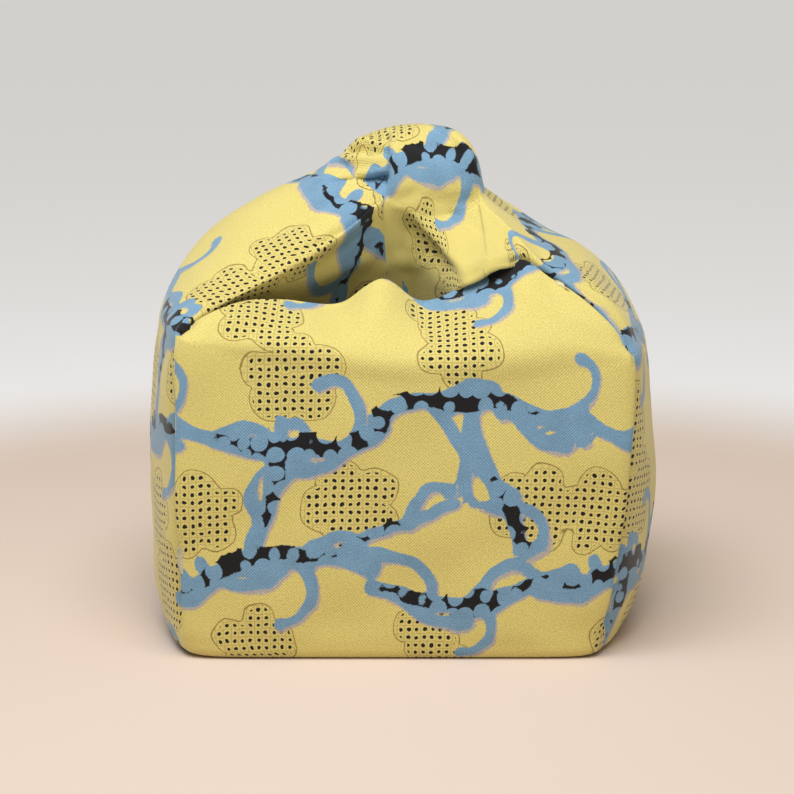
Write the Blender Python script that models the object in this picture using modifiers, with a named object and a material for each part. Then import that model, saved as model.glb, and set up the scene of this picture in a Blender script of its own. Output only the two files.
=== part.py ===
"""Knotted cloth bag for Blender 4.5: one square of printed cotton, wrapped up like a box and knotted on top.

The cloth is one sheet with a wall of even thickness. It is laid out as a grid of upright columns and
level rows: a flat bottom, four upright faces, a front flap with a folded lip, a hood that gathers the
two side corners up to the knot, and a curtain of inner folds that hangs from the hood's front edge.
The mouth of the bag is the gap between the flap's lip and the curtain.

The frame is +Z up with the origin on the floor under the middle of the bag. The front faces -Y.
All sizes below are in millimetres and are turned to metres where the mesh is made.
"""

import bpy
import numpy as np

MM = 0.001
CLOTH_THICKNESS = 1.8
CORNER_THICKNESS_SHARE = 0.15
NODE_NAME = "knotted_cloth"

# A column's place around the bag: 0 is the front left corner, 1 the front right one, 2 the back right
# one and 3 the back left one. Each stretch is (first place, last place, number of steps).
FRONT_COLUMNS = ((0.0, 0.28, 6), (0.28, 0.64, 10), (0.64, 1.0, 8))
OTHER_COLUMNS = ((1.0, 2.0, 12), (2.0, 3.0, 16), (3.0, 4.0, 12))

# The body's level sections. The pleat is how far the tucked cloth stands out at the middle of a side,
# and the groove is the depth of the crease between that tuck and the front and back faces.
BODY_SECTIONS = (
    # height, left, right, front, back, squareness, left pleat, right pleat, groove
    (0.0, 82.0, 75.5, 70.0, 70.0, 12, 4.0, 5.0, 0.0),
    (1.5, 85.0, 77.0, 71.5, 71.5, 14, 6.0, 8.5, 0.3),
    (6.0, 87.0, 78.5, 72.5, 72.5, 15, 8.5, 12.0, 1.0),
    (15.0, 87.5, 80.0, 73.0, 73.0, 16, 11.0, 15.0, 2.0),
    (36.0, 88.0, 83.0, 73.7, 73.7, 18, 12.3, 16.5, 3.0),
    (60.0, 88.2, 86.0, 74.0, 74.0, 18, 12.5, 14.8, 3.0),
    (86.0, 88.0, 88.0, 74.0, 74.0, 18, 12.0, 11.0, 2.6),
    (106.0, 88.0, 89.5, 73.5, 73.5, 17, 9.8, 6.5, 2.2),
    (128.0, 87.5, 90.0, 72.0, 72.5, 16, 6.5, 2.0, 1.2),
)
BOTTOM_RINGS = (0.35, 0.7, 0.92)
BODY_ROWS = (0.0, 0.012, 0.05, 0.13, 0.26, 0.4, 0.55, 0.7, 0.83, 0.93, 1.0)
PLEAT_SHAPE = 0.8
GROOVE_PLACE = 0.83
GROOVE_WIDTH = 0.06
SIDE_START = 0.9

# The height at which the upright faces end, around the bag.
BODY_TOP = (
    # place, height
    (0.0, 125.0),
    (0.12, 118.0),
    (0.5, 106.0),
    (0.9, 112.0),
    (1.0, 117.0),
    (1.5, 106.0),
    (2.0, 112.0),
    (2.5, 110.0),
    (3.0, 114.0),
    (3.5, 116.0),
)

# The front flap rises from the front top edge to its lip, which is a soft fold.
FLAP_SECTIONS = (
    # place, front edge height, lip depth, lip height
    (0.0, 124.0, -62.5, 124.0),
    (0.06, 124.0, -61.0, 125.0),
    (0.11, 124.0, -57.0, 127.8),
    (0.166, 123.5, -51.5, 132.4),
    (0.22, 122.8, -47.5, 136.0),
    (0.27, 122.0, -44.5, 138.4),
    (0.36, 120.0, -42.0, 134.5),
    (0.45, 118.0, -42.0, 142.4),
    (0.53, 117.5, -42.0, 134.0),
    (0.59, 118.0, -40.5, 135.5),
    (0.64, 119.0, -39.5, 139.4),
    (0.7, 120.0, -41.0, 143.0),
    (0.76, 120.8, -43.5, 147.0),
    (0.82, 121.5, -49.0, 140.5),
    (0.86, 121.5, -53.0, 134.8),
    (0.9, 121.0, -57.0, 129.0),
    (0.95, 119.5, -61.5, 121.5),
    (1.0, 117.5, -64.0, 117.5),
)
FRONT_EDGE_SHARE = 0.985
FLAP_MIDDLE_RISE = 0.56
FLAP_WIDTHS = (0.995, 0.98, 0.97, 0.965, 0.96, 0.955)
LIP_RADIUS = 2.2
LIP_DROP = 11.0
LIP_START_DROP = 0.6
CORNER_LIP_DROP = 3.5
CORNER_REACH = 0.2
FLAP_ROWS = 8

# The rims are the hood's two front edges, from a corner of the mouth up to the knot.
LEFT_RIM = (
    # share of the way up, x, depth, height
    (0.0, -85.5, -69.0, 125.0),
    (0.09, -79.5, -63.5, 130.8),
    (0.185, -71.5, -58.5, 134.6),
    (0.34, -58.0, -51.5, 140.6),
    (0.565, -39.3, -42.0, 150.0),
    (0.79, -22.3, -33.0, 159.8),
    (0.945, -11.2, -26.5, 168.4),
    (1.0, -7.5, -24.8, 171.0),
)
RIGHT_RIM = (
    # share of the way up, x, depth, height
    (0.0, 85.0, -68.5, 117.0),
    (0.134, 80.0, -63.5, 127.4),
    (0.229, 74.5, -59.8, 134.0),
    (0.394, 63.0, -53.0, 142.6),
    (0.648, 47.0, -41.5, 154.4),
    (0.796, 40.0, -32.5, 162.0),
    (1.0, 29.5, -20.0, 170.6),
)
RIM_REACH = 0.5

# The curtain hangs from the left rim (0 to 1), the front of the knot (1 to 2) and the right rim
# (2 to 3). Its upper end turns under in a soft roll, and the rest runs straight to its foot.
CURTAIN_SECTIONS = (
    # along, foot x, depth, height
    (0.0, -82.0, -56.0, 125.0),
    (0.1, -75.0, -49.0, 127.5),
    (0.185, -68.0, -42.0, 129.0),
    (0.34, -55.0, -34.0, 130.5),
    (0.565, -40.0, -25.0, 131.0),
    (0.79, -25.0, -15.0, 133.0),
    (0.945, -12.0, -11.0, 134.0),
    (1.0, -5.0, -10.5, 134.5),
    (1.15, 3.0, -11.0, 134.5),
    (1.3, 10.0, -13.5, 135.5),
    (1.42, 16.5, -25.0, 136.5),
    (1.6, 22.0, -28.0, 136.0),
    (1.8, 27.0, -30.0, 137.0),
    (2.0, 32.0, -31.0, 137.5),
    (2.2, 38.0, -30.0, 138.5),
    (2.35, 44.0, -29.5, 138.0),
    (2.6, 58.5, -36.0, 132.0),
    (2.77, 68.0, -44.0, 127.0),
    (2.87, 74.0, -50.0, 122.5),
    (3.0, 81.0, -58.0, 117.0),
)
ROLL_LENGTH = 5.6
ROLL_STEPS = 3
LEAST_TURN = 0.05
CURTAIN_SHARES = (0.22, 0.48, 0.74, 1.0)
KNOT_FRONT_STEPS = 9
KNOT_FRONT_BULGE = 1.5
KNOT_FRONT_CROWN = 0.85

# How the columns gather round the knot, and how the hood's cloth rises to it. A rise below 1 is a
# rounded shoulder and 1 is a straight slope. The shoulder stands out by that many millimetres at a
# quarter of the way and sinks by as many at three quarters. The crown is how round the knot closes.
GATHER = (
    # place, angle round the knot in degrees, rise, shoulder, crown
    (1.0, 318.0, 0.8, 0.0, 0.8),
    (1.25, 341.0, 0.62, 1.2, 0.78),
    (1.5, 360.0, 0.5, 2.2, 0.78),
    (2.0, 396.0, 0.78, 0.0, 0.9),
    (2.5, 450.0, 0.95, 0.0, 1.1),
    (3.0, 506.0, 0.78, 0.0, 1.15),
    (3.5, 540.0, 0.46, 1.2, 1.2),
    (3.75, 570.0, 0.62, 0.6, 1.1),
    (4.0, 603.0, 0.85, 0.0, 0.95),
)
NECK_CENTRE = (3.0, -4.0)
NECK_HALF = (27.0, 19.0)
NECK_HEIGHT = 177.5
NECK_TILT = 6.5
NECK_FRONT_DROP = 4.0
HOOD_ROWS = 10
KNOT_TOP = 196.3
KNOT_ROWS = 7

# The wrap at the knot ends in an upright fold, and the left corner of cloth is drawn in under it.
WRAP_EDGE_X = -5.0
WRAP_EDGE_WIDTH = 3.0
WRAP_DEPTH = 6.5
WRAP_LEVEL = 178.0
WRAP_REACH = 9.0
WRAP_FADE_X = -32.0
WRAP_FRONT, WRAP_BACK = -12.0, -4.0

# Soft folds that run from the back corners and the back face up to the knot.
BACK_FOLD_HEIGHT = 2.6
BACK_FOLDS = 5
BACK_FOLD_DRIFT = 1.2
BACK_FOLD_SHAPE = 0.8
BACK_FOLD_STARTS = (1.7, 2.1)
BACK_FOLD_ENDS = (2.9, 3.3)


def clear_scene():
    """Remove every object of the startup scene."""
    for thing in list(bpy.data.objects):
        bpy.data.objects.remove(thing)


def curve_through(table, at, period=None):
    """Read a smooth curve through a table's rows. The first column is the place along the curve."""
    rows = np.array(table, float)
    if period:
        shift = np.zeros(rows.shape[1])
        shift[0] = period
        rows = np.vstack([rows[-2:] - shift, rows, rows[:2] + shift])
    keys, values = rows[:, 0], rows[:, 1:]
    slopes = np.gradient(values, keys, axis=0)
    at = np.asarray(at, float)
    i = np.clip(np.searchsorted(keys, at, side="right") - 1, 0, len(keys) - 2)
    step = (keys[i + 1] - keys[i])[..., None]
    t = np.clip((at[..., None] - keys[i][..., None]) / step, 0, 1)
    start, end = (1 + 2 * t) * (1 - t) ** 2, t * t * (3 - 2 * t)
    leave, arrive = t * (1 - t) ** 2 * step, t * t * (t - 1) * step
    return start * values[i] + end * values[i + 1] + leave * slopes[i] + arrive * slopes[i + 1]


def smooth_step(low, high, value):
    """Go softly from 0 at low to 1 at high."""
    t = np.clip((value - low) / (high - low), 0, 1)
    return t * t * (3 - 2 * t)


def column_places():
    """Return every column's place around the bag, and the number of columns across the front."""
    places = [0.0]
    for first, last, steps in FRONT_COLUMNS + OTHER_COLUMNS:
        places += list(np.linspace(first, last, steps + 1)[1:])
    front = sum(steps for _, _, steps in FRONT_COLUMNS)
    return np.array(places[:-1]), front + 1


def square_direction(place):
    """Return a place's point on the edge of the square from -1 to 1."""
    side, along = np.floor(place).astype(int) % 4, 2 * (place % 1) - 1
    across = np.choose(side, [along, np.ones_like(along), -along, -np.ones_like(along)])
    deep = np.choose(side, [-np.ones_like(along), along, np.ones_like(along), -along])
    return across, deep


def body_ring(place, height):
    """Return the points of the body's upright faces at these places and heights."""
    section = curve_through(BODY_SECTIONS, height)
    left, right, front, back, squareness, left_pleat, right_pleat, groove = section.T
    across, deep = square_direction(place)
    round_off = (np.abs(across) ** squareness + np.abs(deep) ** squareness) ** (-1 / squareness)
    across, deep = across * round_off, deep * round_off
    x = (right - left) / 2 + (right + left) / 2 * across
    y = np.where(deep < 0, front, back) * deep
    on_side = smooth_step(SIDE_START, 1.0, np.abs(across))
    pleat = np.where(across < 0, left_pleat, right_pleat)
    swell = pleat * np.maximum(1 - (deep / GROOVE_PLACE) ** 2, 0) ** PLEAT_SHAPE
    crease = groove * np.exp(-(((np.abs(deep) - GROOVE_PLACE) / GROOVE_WIDTH) ** 2))
    x = x + np.sign(across) * on_side * (swell - crease)
    return np.stack([x, y, height], axis=1)


def neck_ring(place):
    """Return the loop where the gathered cloth meets the knot, and the rest of GATHER's values."""
    angle, *shape = curve_through(GATHER, place).T
    angle = np.radians(angle)
    x = NECK_CENTRE[0] + NECK_HALF[0] * np.cos(angle)
    y = NECK_CENTRE[1] + NECK_HALF[1] * np.sin(angle)
    z = NECK_HEIGHT - NECK_TILT * np.cos(angle) + NECK_FRONT_DROP * np.sin(angle)
    return np.stack([x, y, z], axis=1), shape


def wrap_recess(points):
    """Draw the cloth left of the wrap's fold in under it, and return the moved points."""
    x, y, z = points.T
    beside = 1 - smooth_step(WRAP_EDGE_X - WRAP_EDGE_WIDTH, WRAP_EDGE_X, x)
    fade = smooth_step(WRAP_FADE_X, WRAP_EDGE_X - WRAP_EDGE_WIDTH, x)
    level = np.exp(-(((z - WRAP_LEVEL) / WRAP_REACH) ** 2))
    at_front = 1 - smooth_step(WRAP_FRONT, WRAP_BACK, y)
    moved = points.copy()
    moved[:, 1] += WRAP_DEPTH * beside * fade * level * at_front
    return moved


def back_folds(place, share):
    """Return how far the folds of the back slope stand out, from the back edge up to the knot."""
    on_back = smooth_step(*BACK_FOLD_STARTS, place) * (1 - smooth_step(*BACK_FOLD_ENDS, place))
    drift = BACK_FOLD_DRIFT * np.sin(3 * place)
    wave = np.sin((place - 2) * BACK_FOLDS * 2 * np.pi + drift)
    return BACK_FOLD_HEIGHT * on_back * wave * np.sin(np.pi * share) ** BACK_FOLD_SHAPE


def body_rows(place):
    """Return the rows of the bottom and of the upright faces, from the middle of the bottom up."""
    foot = body_ring(place, np.zeros_like(place))
    rows = [foot * [share, share, 1] for share in BOTTOM_RINGS]
    top = curve_through(BODY_TOP, place, period=4)[:, 0]
    return rows + [body_ring(place, top * share) for share in BODY_ROWS]


def path_rows(points, shares):
    """Return the rows of a smooth path that runs through a few rows of points."""
    keys = np.linspace(0, 1, len(points))
    stacked = np.array([np.concatenate([[key], row.ravel()]) for key, row in zip(keys, points)])
    read = curve_through(stacked, np.array(shares))
    return [row.reshape(-1, 3) for row in read]


def flap_rows(start, place):
    """Return the rows of the front flap above its first row: over the edge, up to the lip and in."""
    edge, depth, height = curve_through(FLAP_SECTIONS, place).T
    x = start[:, 0]

    def row(y, z, draw_in):
        return np.stack([x * draw_in, y, z], axis=1)

    edge_depth = start[:, 1] * FRONT_EDGE_SHARE
    from_corner = smooth_step(0, CORNER_REACH, np.minimum(place, 1 - place))
    drop = CORNER_LIP_DROP + (LIP_DROP - CORNER_LIP_DROP) * from_corner
    middle_depth = (edge_depth + depth) / 2
    middle_height = edge + (height - edge) * FLAP_MIDDLE_RISE
    at_edge, at_middle, before_lip, at_lip, past_lip, at_end = FLAP_WIDTHS
    lip = [
        row(depth - LIP_RADIUS, height - LIP_START_DROP * LIP_RADIUS, before_lip),
        row(depth, height, at_lip),
        row(depth + LIP_RADIUS, height - LIP_RADIUS, past_lip),
        row(depth + LIP_RADIUS, height - drop, at_end),
    ]
    rise = [start, row(edge_depth, edge, at_edge), row(middle_depth, middle_height, at_middle)]
    over_edge = path_rows(rise + [lip[0]], np.linspace(0, 1, FLAP_ROWS)[1:])
    return over_edge + lip[1:]


def hood_rows(base, place):
    """Return the rows from the side and back faces' top up to the neck of the knot."""
    neck, (rise, shoulder, _) = neck_ring(place)
    spread = (1 + 1 / rise) / 2
    by_left = smooth_step(4 - RIM_REACH, 4, place)[:, None]
    by_right = 1 - smooth_step(1, 1 + RIM_REACH, place)[:, None]
    rows = []
    for step in range(1, HOOD_ROWS + 1):
        way = step / HOOD_ROWS
        share = way**spread
        plan = base[:, :2] + (neck[:, :2] - base[:, :2]) * share[:, None]
        height = base[:, 2] + (neck[:, 2] - base[:, 2]) * share**rise
        height = height + shoulder * np.sin(2 * np.pi * share) + back_folds(place, share)
        row = np.column_stack([plan, height])
        row = row + by_left * (curve_through(LEFT_RIM, way) - row[-1])
        row = row + by_right * (curve_through(RIGHT_RIM, way) - row[0])
        rows.append(wrap_recess(row))
    return rows


def knot_front(left, right):
    """Return the points of the knot's lower front edge, between the two rims' upper ends."""
    share = np.arange(1, KNOT_FRONT_STEPS)[:, None] / KNOT_FRONT_STEPS
    bulge = np.array([0, -KNOT_FRONT_BULGE, 0]) * np.sin(np.pi * share)
    return left + (right - left) * share + bulge


def knot_rows(ring, crown):
    """Return the rows that close the knot, from its neck up to its top."""
    centre = np.array(NECK_CENTRE)
    rows = []
    for step in range(1, KNOT_ROWS):
        turn = np.pi / 2 * step / KNOT_ROWS
        inward, upward = np.cos(turn) ** crown, np.sin(turn) ** crown
        plan = centre + (ring[:, :2] - centre) * inward[:, None]
        height = ring[:, 2] + (KNOT_TOP - ring[:, 2]) * upward
        rows.append(wrap_recess(np.column_stack([plan, height])))
    return rows


def unit(vectors):
    """Return the vectors at a length of one."""
    return vectors / np.linalg.norm(vectors, axis=1, keepdims=True)


def curtain_rows(rim, ends, beside, along):
    """Return the rows of the inner folds, from the rim down to the curtain's foot."""
    foot = curve_through(CURTAIN_SECTIONS, along)
    path = np.vstack([ends[0], rim, ends[1]])
    run = unit(path[2:] - path[:-2])
    hood = beside - rim
    hood = unit(hood - run * np.sum(hood * run, axis=1, keepdims=True))
    outward = np.cross(run, hood)
    fall = foot - rim
    fall = unit(fall - run * np.sum(fall * run, axis=1, keepdims=True))
    turn = np.arctan2(-np.sum(fall * outward, axis=1), -np.sum(fall * hood, axis=1))[:, None]
    turn = np.where(np.abs(turn) < LEAST_TURN, LEAST_TURN, turn)
    radius = ROLL_LENGTH / turn
    rows = []
    for step in range(1, ROLL_STEPS + 1):
        angle = turn * step / ROLL_STEPS
        rows.append(rim - hood * radius * np.sin(angle) - outward * radius * (1 - np.cos(angle)))
    start = rows[-1]
    return rows + [start + (foot - start) * share for share in CURTAIN_SHARES]


class Sheet:
    """The points and faces of the open sheet of cloth, made from rows that share their edges."""

    def __init__(self):
        self.points = []
        self.faces = []
        self.mouth_corners = []

    def add_row(self, row):
        """Add a row of points and return their numbers."""
        first = len(self.points)
        self.points += [tuple(point) for point in row]
        return list(range(first, len(self.points)))

    def join(self, low, high, closed, flip=False):
        """Fill the strip between two rows of points with four-sided faces."""
        count = len(low)
        for i in range(count if closed else count - 1):
            j = (i + 1) % count
            face = [low[i], low[j], high[j], high[i]]
            self.faces.append(face[::-1] if flip else face)

    def fan(self, corner, low, high):
        """Fill the corner between the ends of two rows with a triangle."""
        self.faces.append([corner, low, high])

    def cap(self, row, centre, flip=False):
        """Close a row with triangles to one point."""
        middle = self.add_row([centre])[0]
        for i, corner in enumerate(row):
            face = [corner, row[(i + 1) % len(row)], middle]
            self.faces.append(face[::-1] if flip else face)

    def taper(self, rows, left, right):
        """Join open rows, and draw their ends in to the two corners of the mouth."""
        for low, high in zip(rows, rows[1:]):
            self.join(low, high, closed=False)
            self.fan(left, low[0], high[0])
            self.fan(right, high[-1], low[-1])


def cloth_sheet():
    """Build the whole cloth as one open sheet and return it."""
    place, front = column_places()
    sheet = Sheet()

    body = body_rows(place)
    rows = [sheet.add_row(row) for row in body]
    sheet.cap(rows[0], (0.0, 0.0, 0.0), flip=True)
    for low, high in zip(rows, rows[1:]):
        sheet.join(low, high, closed=True)
    top = rows[-1]

    mouth = slice(1, front - 1)
    left, right = top[0], top[front - 1]
    sheet.mouth_corners = [left, right]
    flap = [top[mouth]] + [sheet.add_row(row) for row in flap_rows(body[-1][mouth], place[mouth])]
    sheet.taper(flap, left, right)

    sides = np.append(place[front - 1 :], 4.0)
    lower = top[front - 1 :] + [left]
    base = np.array([sheet.points[number] for number in lower])
    hood = hood_rows(base, sides)
    left_rim, right_rim, left_beside, right_beside = [], [], [], []
    for row in hood:
        upper = sheet.add_row(row)
        sheet.join(lower, upper, closed=False)
        right_rim.append(upper[0])
        left_rim.append(upper[-1])
        right_beside.append(row[1])
        left_beside.append(row[-2])
        lower = upper

    arc = knot_front(hood[-1][-1], hood[-1][0])
    arc_row = sheet.add_row(arc)
    crown = neck_ring(sides)[1][2]
    crown = np.append(crown, np.full(len(arc), KNOT_FRONT_CROWN))
    lower = lower + arc_row
    knot = knot_rows(np.vstack([hood[-1], arc]), crown)
    for row in knot:
        upper = sheet.add_row(row)
        sheet.join(lower, upper, closed=True)
        lower = upper
    sheet.cap(lower, (*NECK_CENTRE, KNOT_TOP))

    rim = left_rim + arc_row + right_rim[::-1]
    way = np.arange(1, HOOD_ROWS + 1) / HOOD_ROWS
    middle = 1 + np.arange(1, KNOT_FRONT_STEPS) / KNOT_FRONT_STEPS
    along = np.concatenate([way, middle, 3 - way[::-1]])
    above = knot[0][len(sides) - 1 :]
    left_beside[-1] = (left_beside[-1] + above[0]) / 2
    right_beside[-1] = (right_beside[-1] + knot[0][0]) / 2
    beside = np.vstack([left_beside, above[1:], right_beside[::-1]])
    rim_points = np.array([sheet.points[number] for number in rim])
    ends = np.array([sheet.points[left], sheet.points[right]])
    folds = curtain_rows(rim_points, ends, beside, along)
    curtain = [rim] + [sheet.add_row(row) for row in folds]
    for high, low in zip(curtain, curtain[1:]):
        sheet.join(low, high, closed=False)
    return sheet


def cotton_material():
    """Return the yellow cotton's material, with the print's mean colour left to the finish."""
    material = bpy.data.materials.new("printed_cotton")
    material.use_nodes = True
    shader = material.node_tree.nodes["Principled BSDF"]
    shader.inputs["Base Color"].default_value = (0.71, 0.56, 0.17, 1.0)
    shader.inputs["Roughness"].default_value = 0.9
    shader.inputs["Metallic"].default_value = 0.0
    return material


def make_bag():
    """Make the bag's object from the sheet, with its wall added by Solidify on the inner side."""
    sheet = cloth_sheet()
    mesh = bpy.data.meshes.new(NODE_NAME)
    mesh.from_pydata([[value * MM for value in point] for point in sheet.points], [], sheet.faces)
    mesh.materials.append(cotton_material())
    mesh.shade_smooth()
    bag = bpy.data.objects.new(NODE_NAME, mesh)
    thickness = bag.vertex_groups.new(name="thickness")
    thickness.add(list(range(len(sheet.points))), 1.0, "REPLACE")
    thickness.add(sheet.mouth_corners, CORNER_THICKNESS_SHARE, "REPLACE")
    wall = bag.modifiers.new("wall", "SOLIDIFY")
    wall.vertex_group = thickness.name
    wall.thickness = CLOTH_THICKNESS * MM
    wall.offset = -1.0
    return bag


def main():
    clear_scene()
    collection = bpy.data.collections.new("knotted_cloth_bag")
    bpy.context.scene.collection.children.link(collection)
    collection.objects.link(make_bag())


main()
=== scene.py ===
"""Knotted cloth bag: one square of printed cotton wrapped up like a box, for Blender 4.5.

The bag is one sheet of cloth on the folds of its CAD solid. It has the body's four faces, the front flap
with its soft lip, the hood that gathers two corners up to the knot, and the inner folds under the hood,
which are called the curtain here. The front faces -Y.

Lengths are in millimetres, and in metres only where a comment says so or where a setting is one of Blender's.
"""

import bpy
import numpy as np
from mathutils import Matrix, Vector


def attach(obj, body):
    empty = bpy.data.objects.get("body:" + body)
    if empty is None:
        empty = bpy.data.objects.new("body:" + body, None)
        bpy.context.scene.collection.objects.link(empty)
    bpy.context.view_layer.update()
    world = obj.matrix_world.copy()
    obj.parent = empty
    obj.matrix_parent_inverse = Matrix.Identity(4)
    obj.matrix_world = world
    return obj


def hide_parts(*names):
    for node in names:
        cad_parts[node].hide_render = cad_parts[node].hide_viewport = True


bl_info = {
    "name": "Knotted cloth bag",
    "version": (1, 0, 0),
    "blender": (4, 5, 0),
    "location": "View3D > Sidebar > Cloth bag",
    "description": "Builds a knotted bag of printed cotton cloth on its CAD frame, with a plain studio stage",
    "category": "Add Mesh",
}

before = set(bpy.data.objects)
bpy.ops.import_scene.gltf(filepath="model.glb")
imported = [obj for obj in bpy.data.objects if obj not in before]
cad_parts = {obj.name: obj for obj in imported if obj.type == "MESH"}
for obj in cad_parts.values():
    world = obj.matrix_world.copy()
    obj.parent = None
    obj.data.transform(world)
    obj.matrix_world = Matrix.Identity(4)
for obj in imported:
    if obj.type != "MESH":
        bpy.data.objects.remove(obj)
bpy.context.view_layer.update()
MM = 0.001
BODY_NAME = "root"
CLOTH_NODE = "knotted_cloth"

# A column's place around the bag: 0 is the front left corner, 1 the front right one, 2 the back right
# one and 3 the back left one. Each stretch is (first place, last place, number of steps). The steps are
# shortest beside the front corners, where the narrow creases are.
FRONT_COLUMNS = ((0.0, 0.28, 24), (0.28, 0.64, 36), (0.64, 1.0, 32))
RIGHT_COLUMNS = ((1.0, 1.1, 12), (1.1, 1.9, 42), (1.9, 2.0, 6))
BACK_COLUMNS = ((2.0, 3.0, 60),)
LEFT_COLUMNS = ((3.0, 3.1, 6), (3.1, 3.9, 42), (3.9, 4.0, 12))

# The body's level sections. The squareness says how sharp the upright corners are, the pleat is how far
# the tucked cloth stands out at the middle of a side, and the groove is the depth of the crease between
# that tuck and the front and back faces.
BODY_SECTIONS = (
    # height, left, right, front, back, squareness, left pleat, right pleat, groove
    (0.0, 82.0, 75.5, 70.0, 70.0, 12, 4.0, 5.0, 0.0),
    (1.5, 85.0, 77.0, 71.5, 71.5, 14, 6.0, 8.5, 0.3),
    (6.0, 87.0, 78.5, 72.5, 72.5, 15, 8.5, 12.0, 1.0),
    (15.0, 87.5, 80.0, 73.0, 73.0, 19, 11.0, 15.0, 4.5),
    (36.0, 88.0, 83.0, 73.7, 73.7, 24, 12.3, 16.5, 7.0),
    (60.0, 88.2, 86.0, 74.0, 74.0, 28, 12.5, 14.8, 7.0),
    (86.0, 88.0, 88.0, 74.0, 74.0, 28, 12.0, 11.0, 6.0),
    (106.0, 88.0, 89.5, 73.5, 73.5, 24, 9.8, 6.5, 4.5),
    (128.0, 87.5, 90.0, 72.0, 72.5, 18, 6.5, 2.0, 2.0),
)

# The bottom's rings are shares of the foot's outline, and the body's rows are shares of its height, closer
# together near the foot. The pleat's reach and the groove's place and width are shares of the half depth,
# and the sides start at this share of the half width.
BOTTOM_RINGS = (0.2, 0.4, 0.6, 0.8, 0.94)
BODY_ROWS = tuple(np.linspace(0, 1, 52) ** 1.35)
PLEAT_SHAPE = 0.8
PLEAT_REACH = 0.86
GROOVE_PLACE = 0.925
GROOVE_WIDTH = 0.026
SIDE_START = 0.9

# The height at which the upright faces end, around the bag.
BODY_TOP = (
    # place, height
    (0.0, 125.0),
    (0.12, 118.0),
    (0.5, 106.0),
    (0.9, 112.0),
    (1.0, 117.0),
    (1.5, 106.0),
    (2.0, 112.0),
    (2.5, 110.0),
    (3.0, 114.0),
    (3.5, 116.0),
)

# The front flap rises from the front top edge to its lip, which is a soft fold.
FLAP_SECTIONS = (
    # place, front edge height, lip depth, lip height
    (0.0, 124.0, -62.5, 124.0),
    (0.04, 124.0, -63.5, 128.5),
    (0.08, 124.0, -61.5, 133.0),
    (0.12, 124.0, -58.0, 136.0),
    (0.166, 123.5, -53.5, 137.0),
    (0.22, 122.8, -49.5, 135.4),
    (0.27, 122.0, -46.5, 134.0),
    (0.36, 120.0, -43.0, 132.4),
    (0.45, 118.0, -42.0, 142.4),
    (0.53, 117.5, -42.0, 134.0),
    (0.59, 118.0, -40.5, 135.5),
    (0.64, 119.0, -39.5, 140.4),
    (0.7, 120.0, -41.0, 145.5),
    (0.76, 120.8, -44.0, 149.5),
    (0.82, 121.5, -49.5, 144.0),
    (0.86, 121.5, -54.5, 141.0),
    (0.9, 121.0, -58.5, 136.0),
    (0.94, 119.5, -62.5, 129.5),
    (0.97, 118.5, -64.5, 124.0),
    (1.0, 117.5, -64.0, 117.5),
)

# Where the flap's rows lie between the front edge and the lip, and how much narrower each one gets.
FRONT_EDGE_SHARE = 0.985
FLAP_MIDDLE_RISE = 0.56
FLAP_WIDTHS = (0.995, 0.98, 0.97, 0.965, 0.96, 0.955)

# The lip turns in over this radius and hangs down inside by this drop, which is less near the corners.
LIP_RADIUS = 2.2
LIP_START_DROP = 0.6
LIP_DROP = 11.0
CORNER_LIP_DROP = 3.5
CORNER_REACH = 0.2
FLAP_STEPS = 11
LIP_STEPS = 4

# The rims are the hood's two front edges, from a corner of the mouth up to the knot.
LEFT_RIM = (
    # share of the way up, x, depth, height
    (0.0, -85.5, -69.0, 125.0),
    (0.09, -79.5, -63.5, 130.8),
    (0.185, -71.5, -58.5, 134.6),
    (0.34, -58.0, -51.5, 140.6),
    (0.565, -39.3, -42.0, 150.0),
    (0.79, -22.3, -33.0, 159.8),
    (0.945, -11.2, -26.5, 168.4),
    (1.0, -7.5, -24.8, 171.0),
)
RIGHT_RIM = (
    # share of the way up, x, depth, height
    (0.0, 85.0, -68.5, 117.0),
    (0.134, 80.0, -63.5, 127.4),
    (0.229, 74.5, -59.8, 134.0),
    (0.394, 63.0, -53.0, 142.6),
    (0.648, 47.0, -41.5, 154.4),
    (0.796, 40.0, -32.5, 162.0),
    (1.0, 29.5, -20.0, 170.6),
)

# The hood's cloth follows a rim over this much of the way round a side.
RIM_REACH = 0.5

# The curtain hangs from the left rim (0 to 1), the front of the knot (1 to 2) and the right rim
# (2 to 3). Its upper end turns under in a soft roll, and the rest runs straight to its foot.
CURTAIN_SECTIONS = (
    # along, foot x, depth, height
    (0.0, -83.0, -62.0, 121.0),
    (0.1, -76.0, -52.0, 122.0),
    (0.185, -69.0, -44.0, 123.0),
    (0.34, -56.0, -34.0, 123.0),
    (0.565, -41.0, -24.0, 123.0),
    (0.79, -26.0, -16.0, 123.5),
    (0.945, -13.0, -12.0, 124.0),
    (1.0, -6.0, -11.5, 124.0),
    (1.15, 2.0, -11.5, 124.0),
    (1.29, 8.0, -13.0, 125.0),
    (1.35, 15.5, -28.0, 129.0),
    (1.43, 19.5, -39.0, 135.0),
    (1.55, 22.5, -44.5, 138.5),
    (1.8, 28.0, -47.0, 141.5),
    (2.0, 33.0, -48.5, 144.5),
    (2.18, 39.0, -47.5, 146.5),
    (2.35, 45.5, -43.5, 146.0),
    (2.6, 58.0, -45.5, 135.5),
    (2.77, 67.5, -50.0, 127.0),
    (2.87, 74.0, -55.0, 121.5),
    (3.0, 82.0, -63.0, 114.0),
)

# The roll's length along the cloth. It turns by this angle at least, in radians, so that it has a radius.
ROLL_LENGTH = 2.4
ROLL_STEPS = 4
LEAST_TURN = 0.05
CURTAIN_SHARES = tuple(np.linspace(0, 1, 15)[1:])

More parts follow.
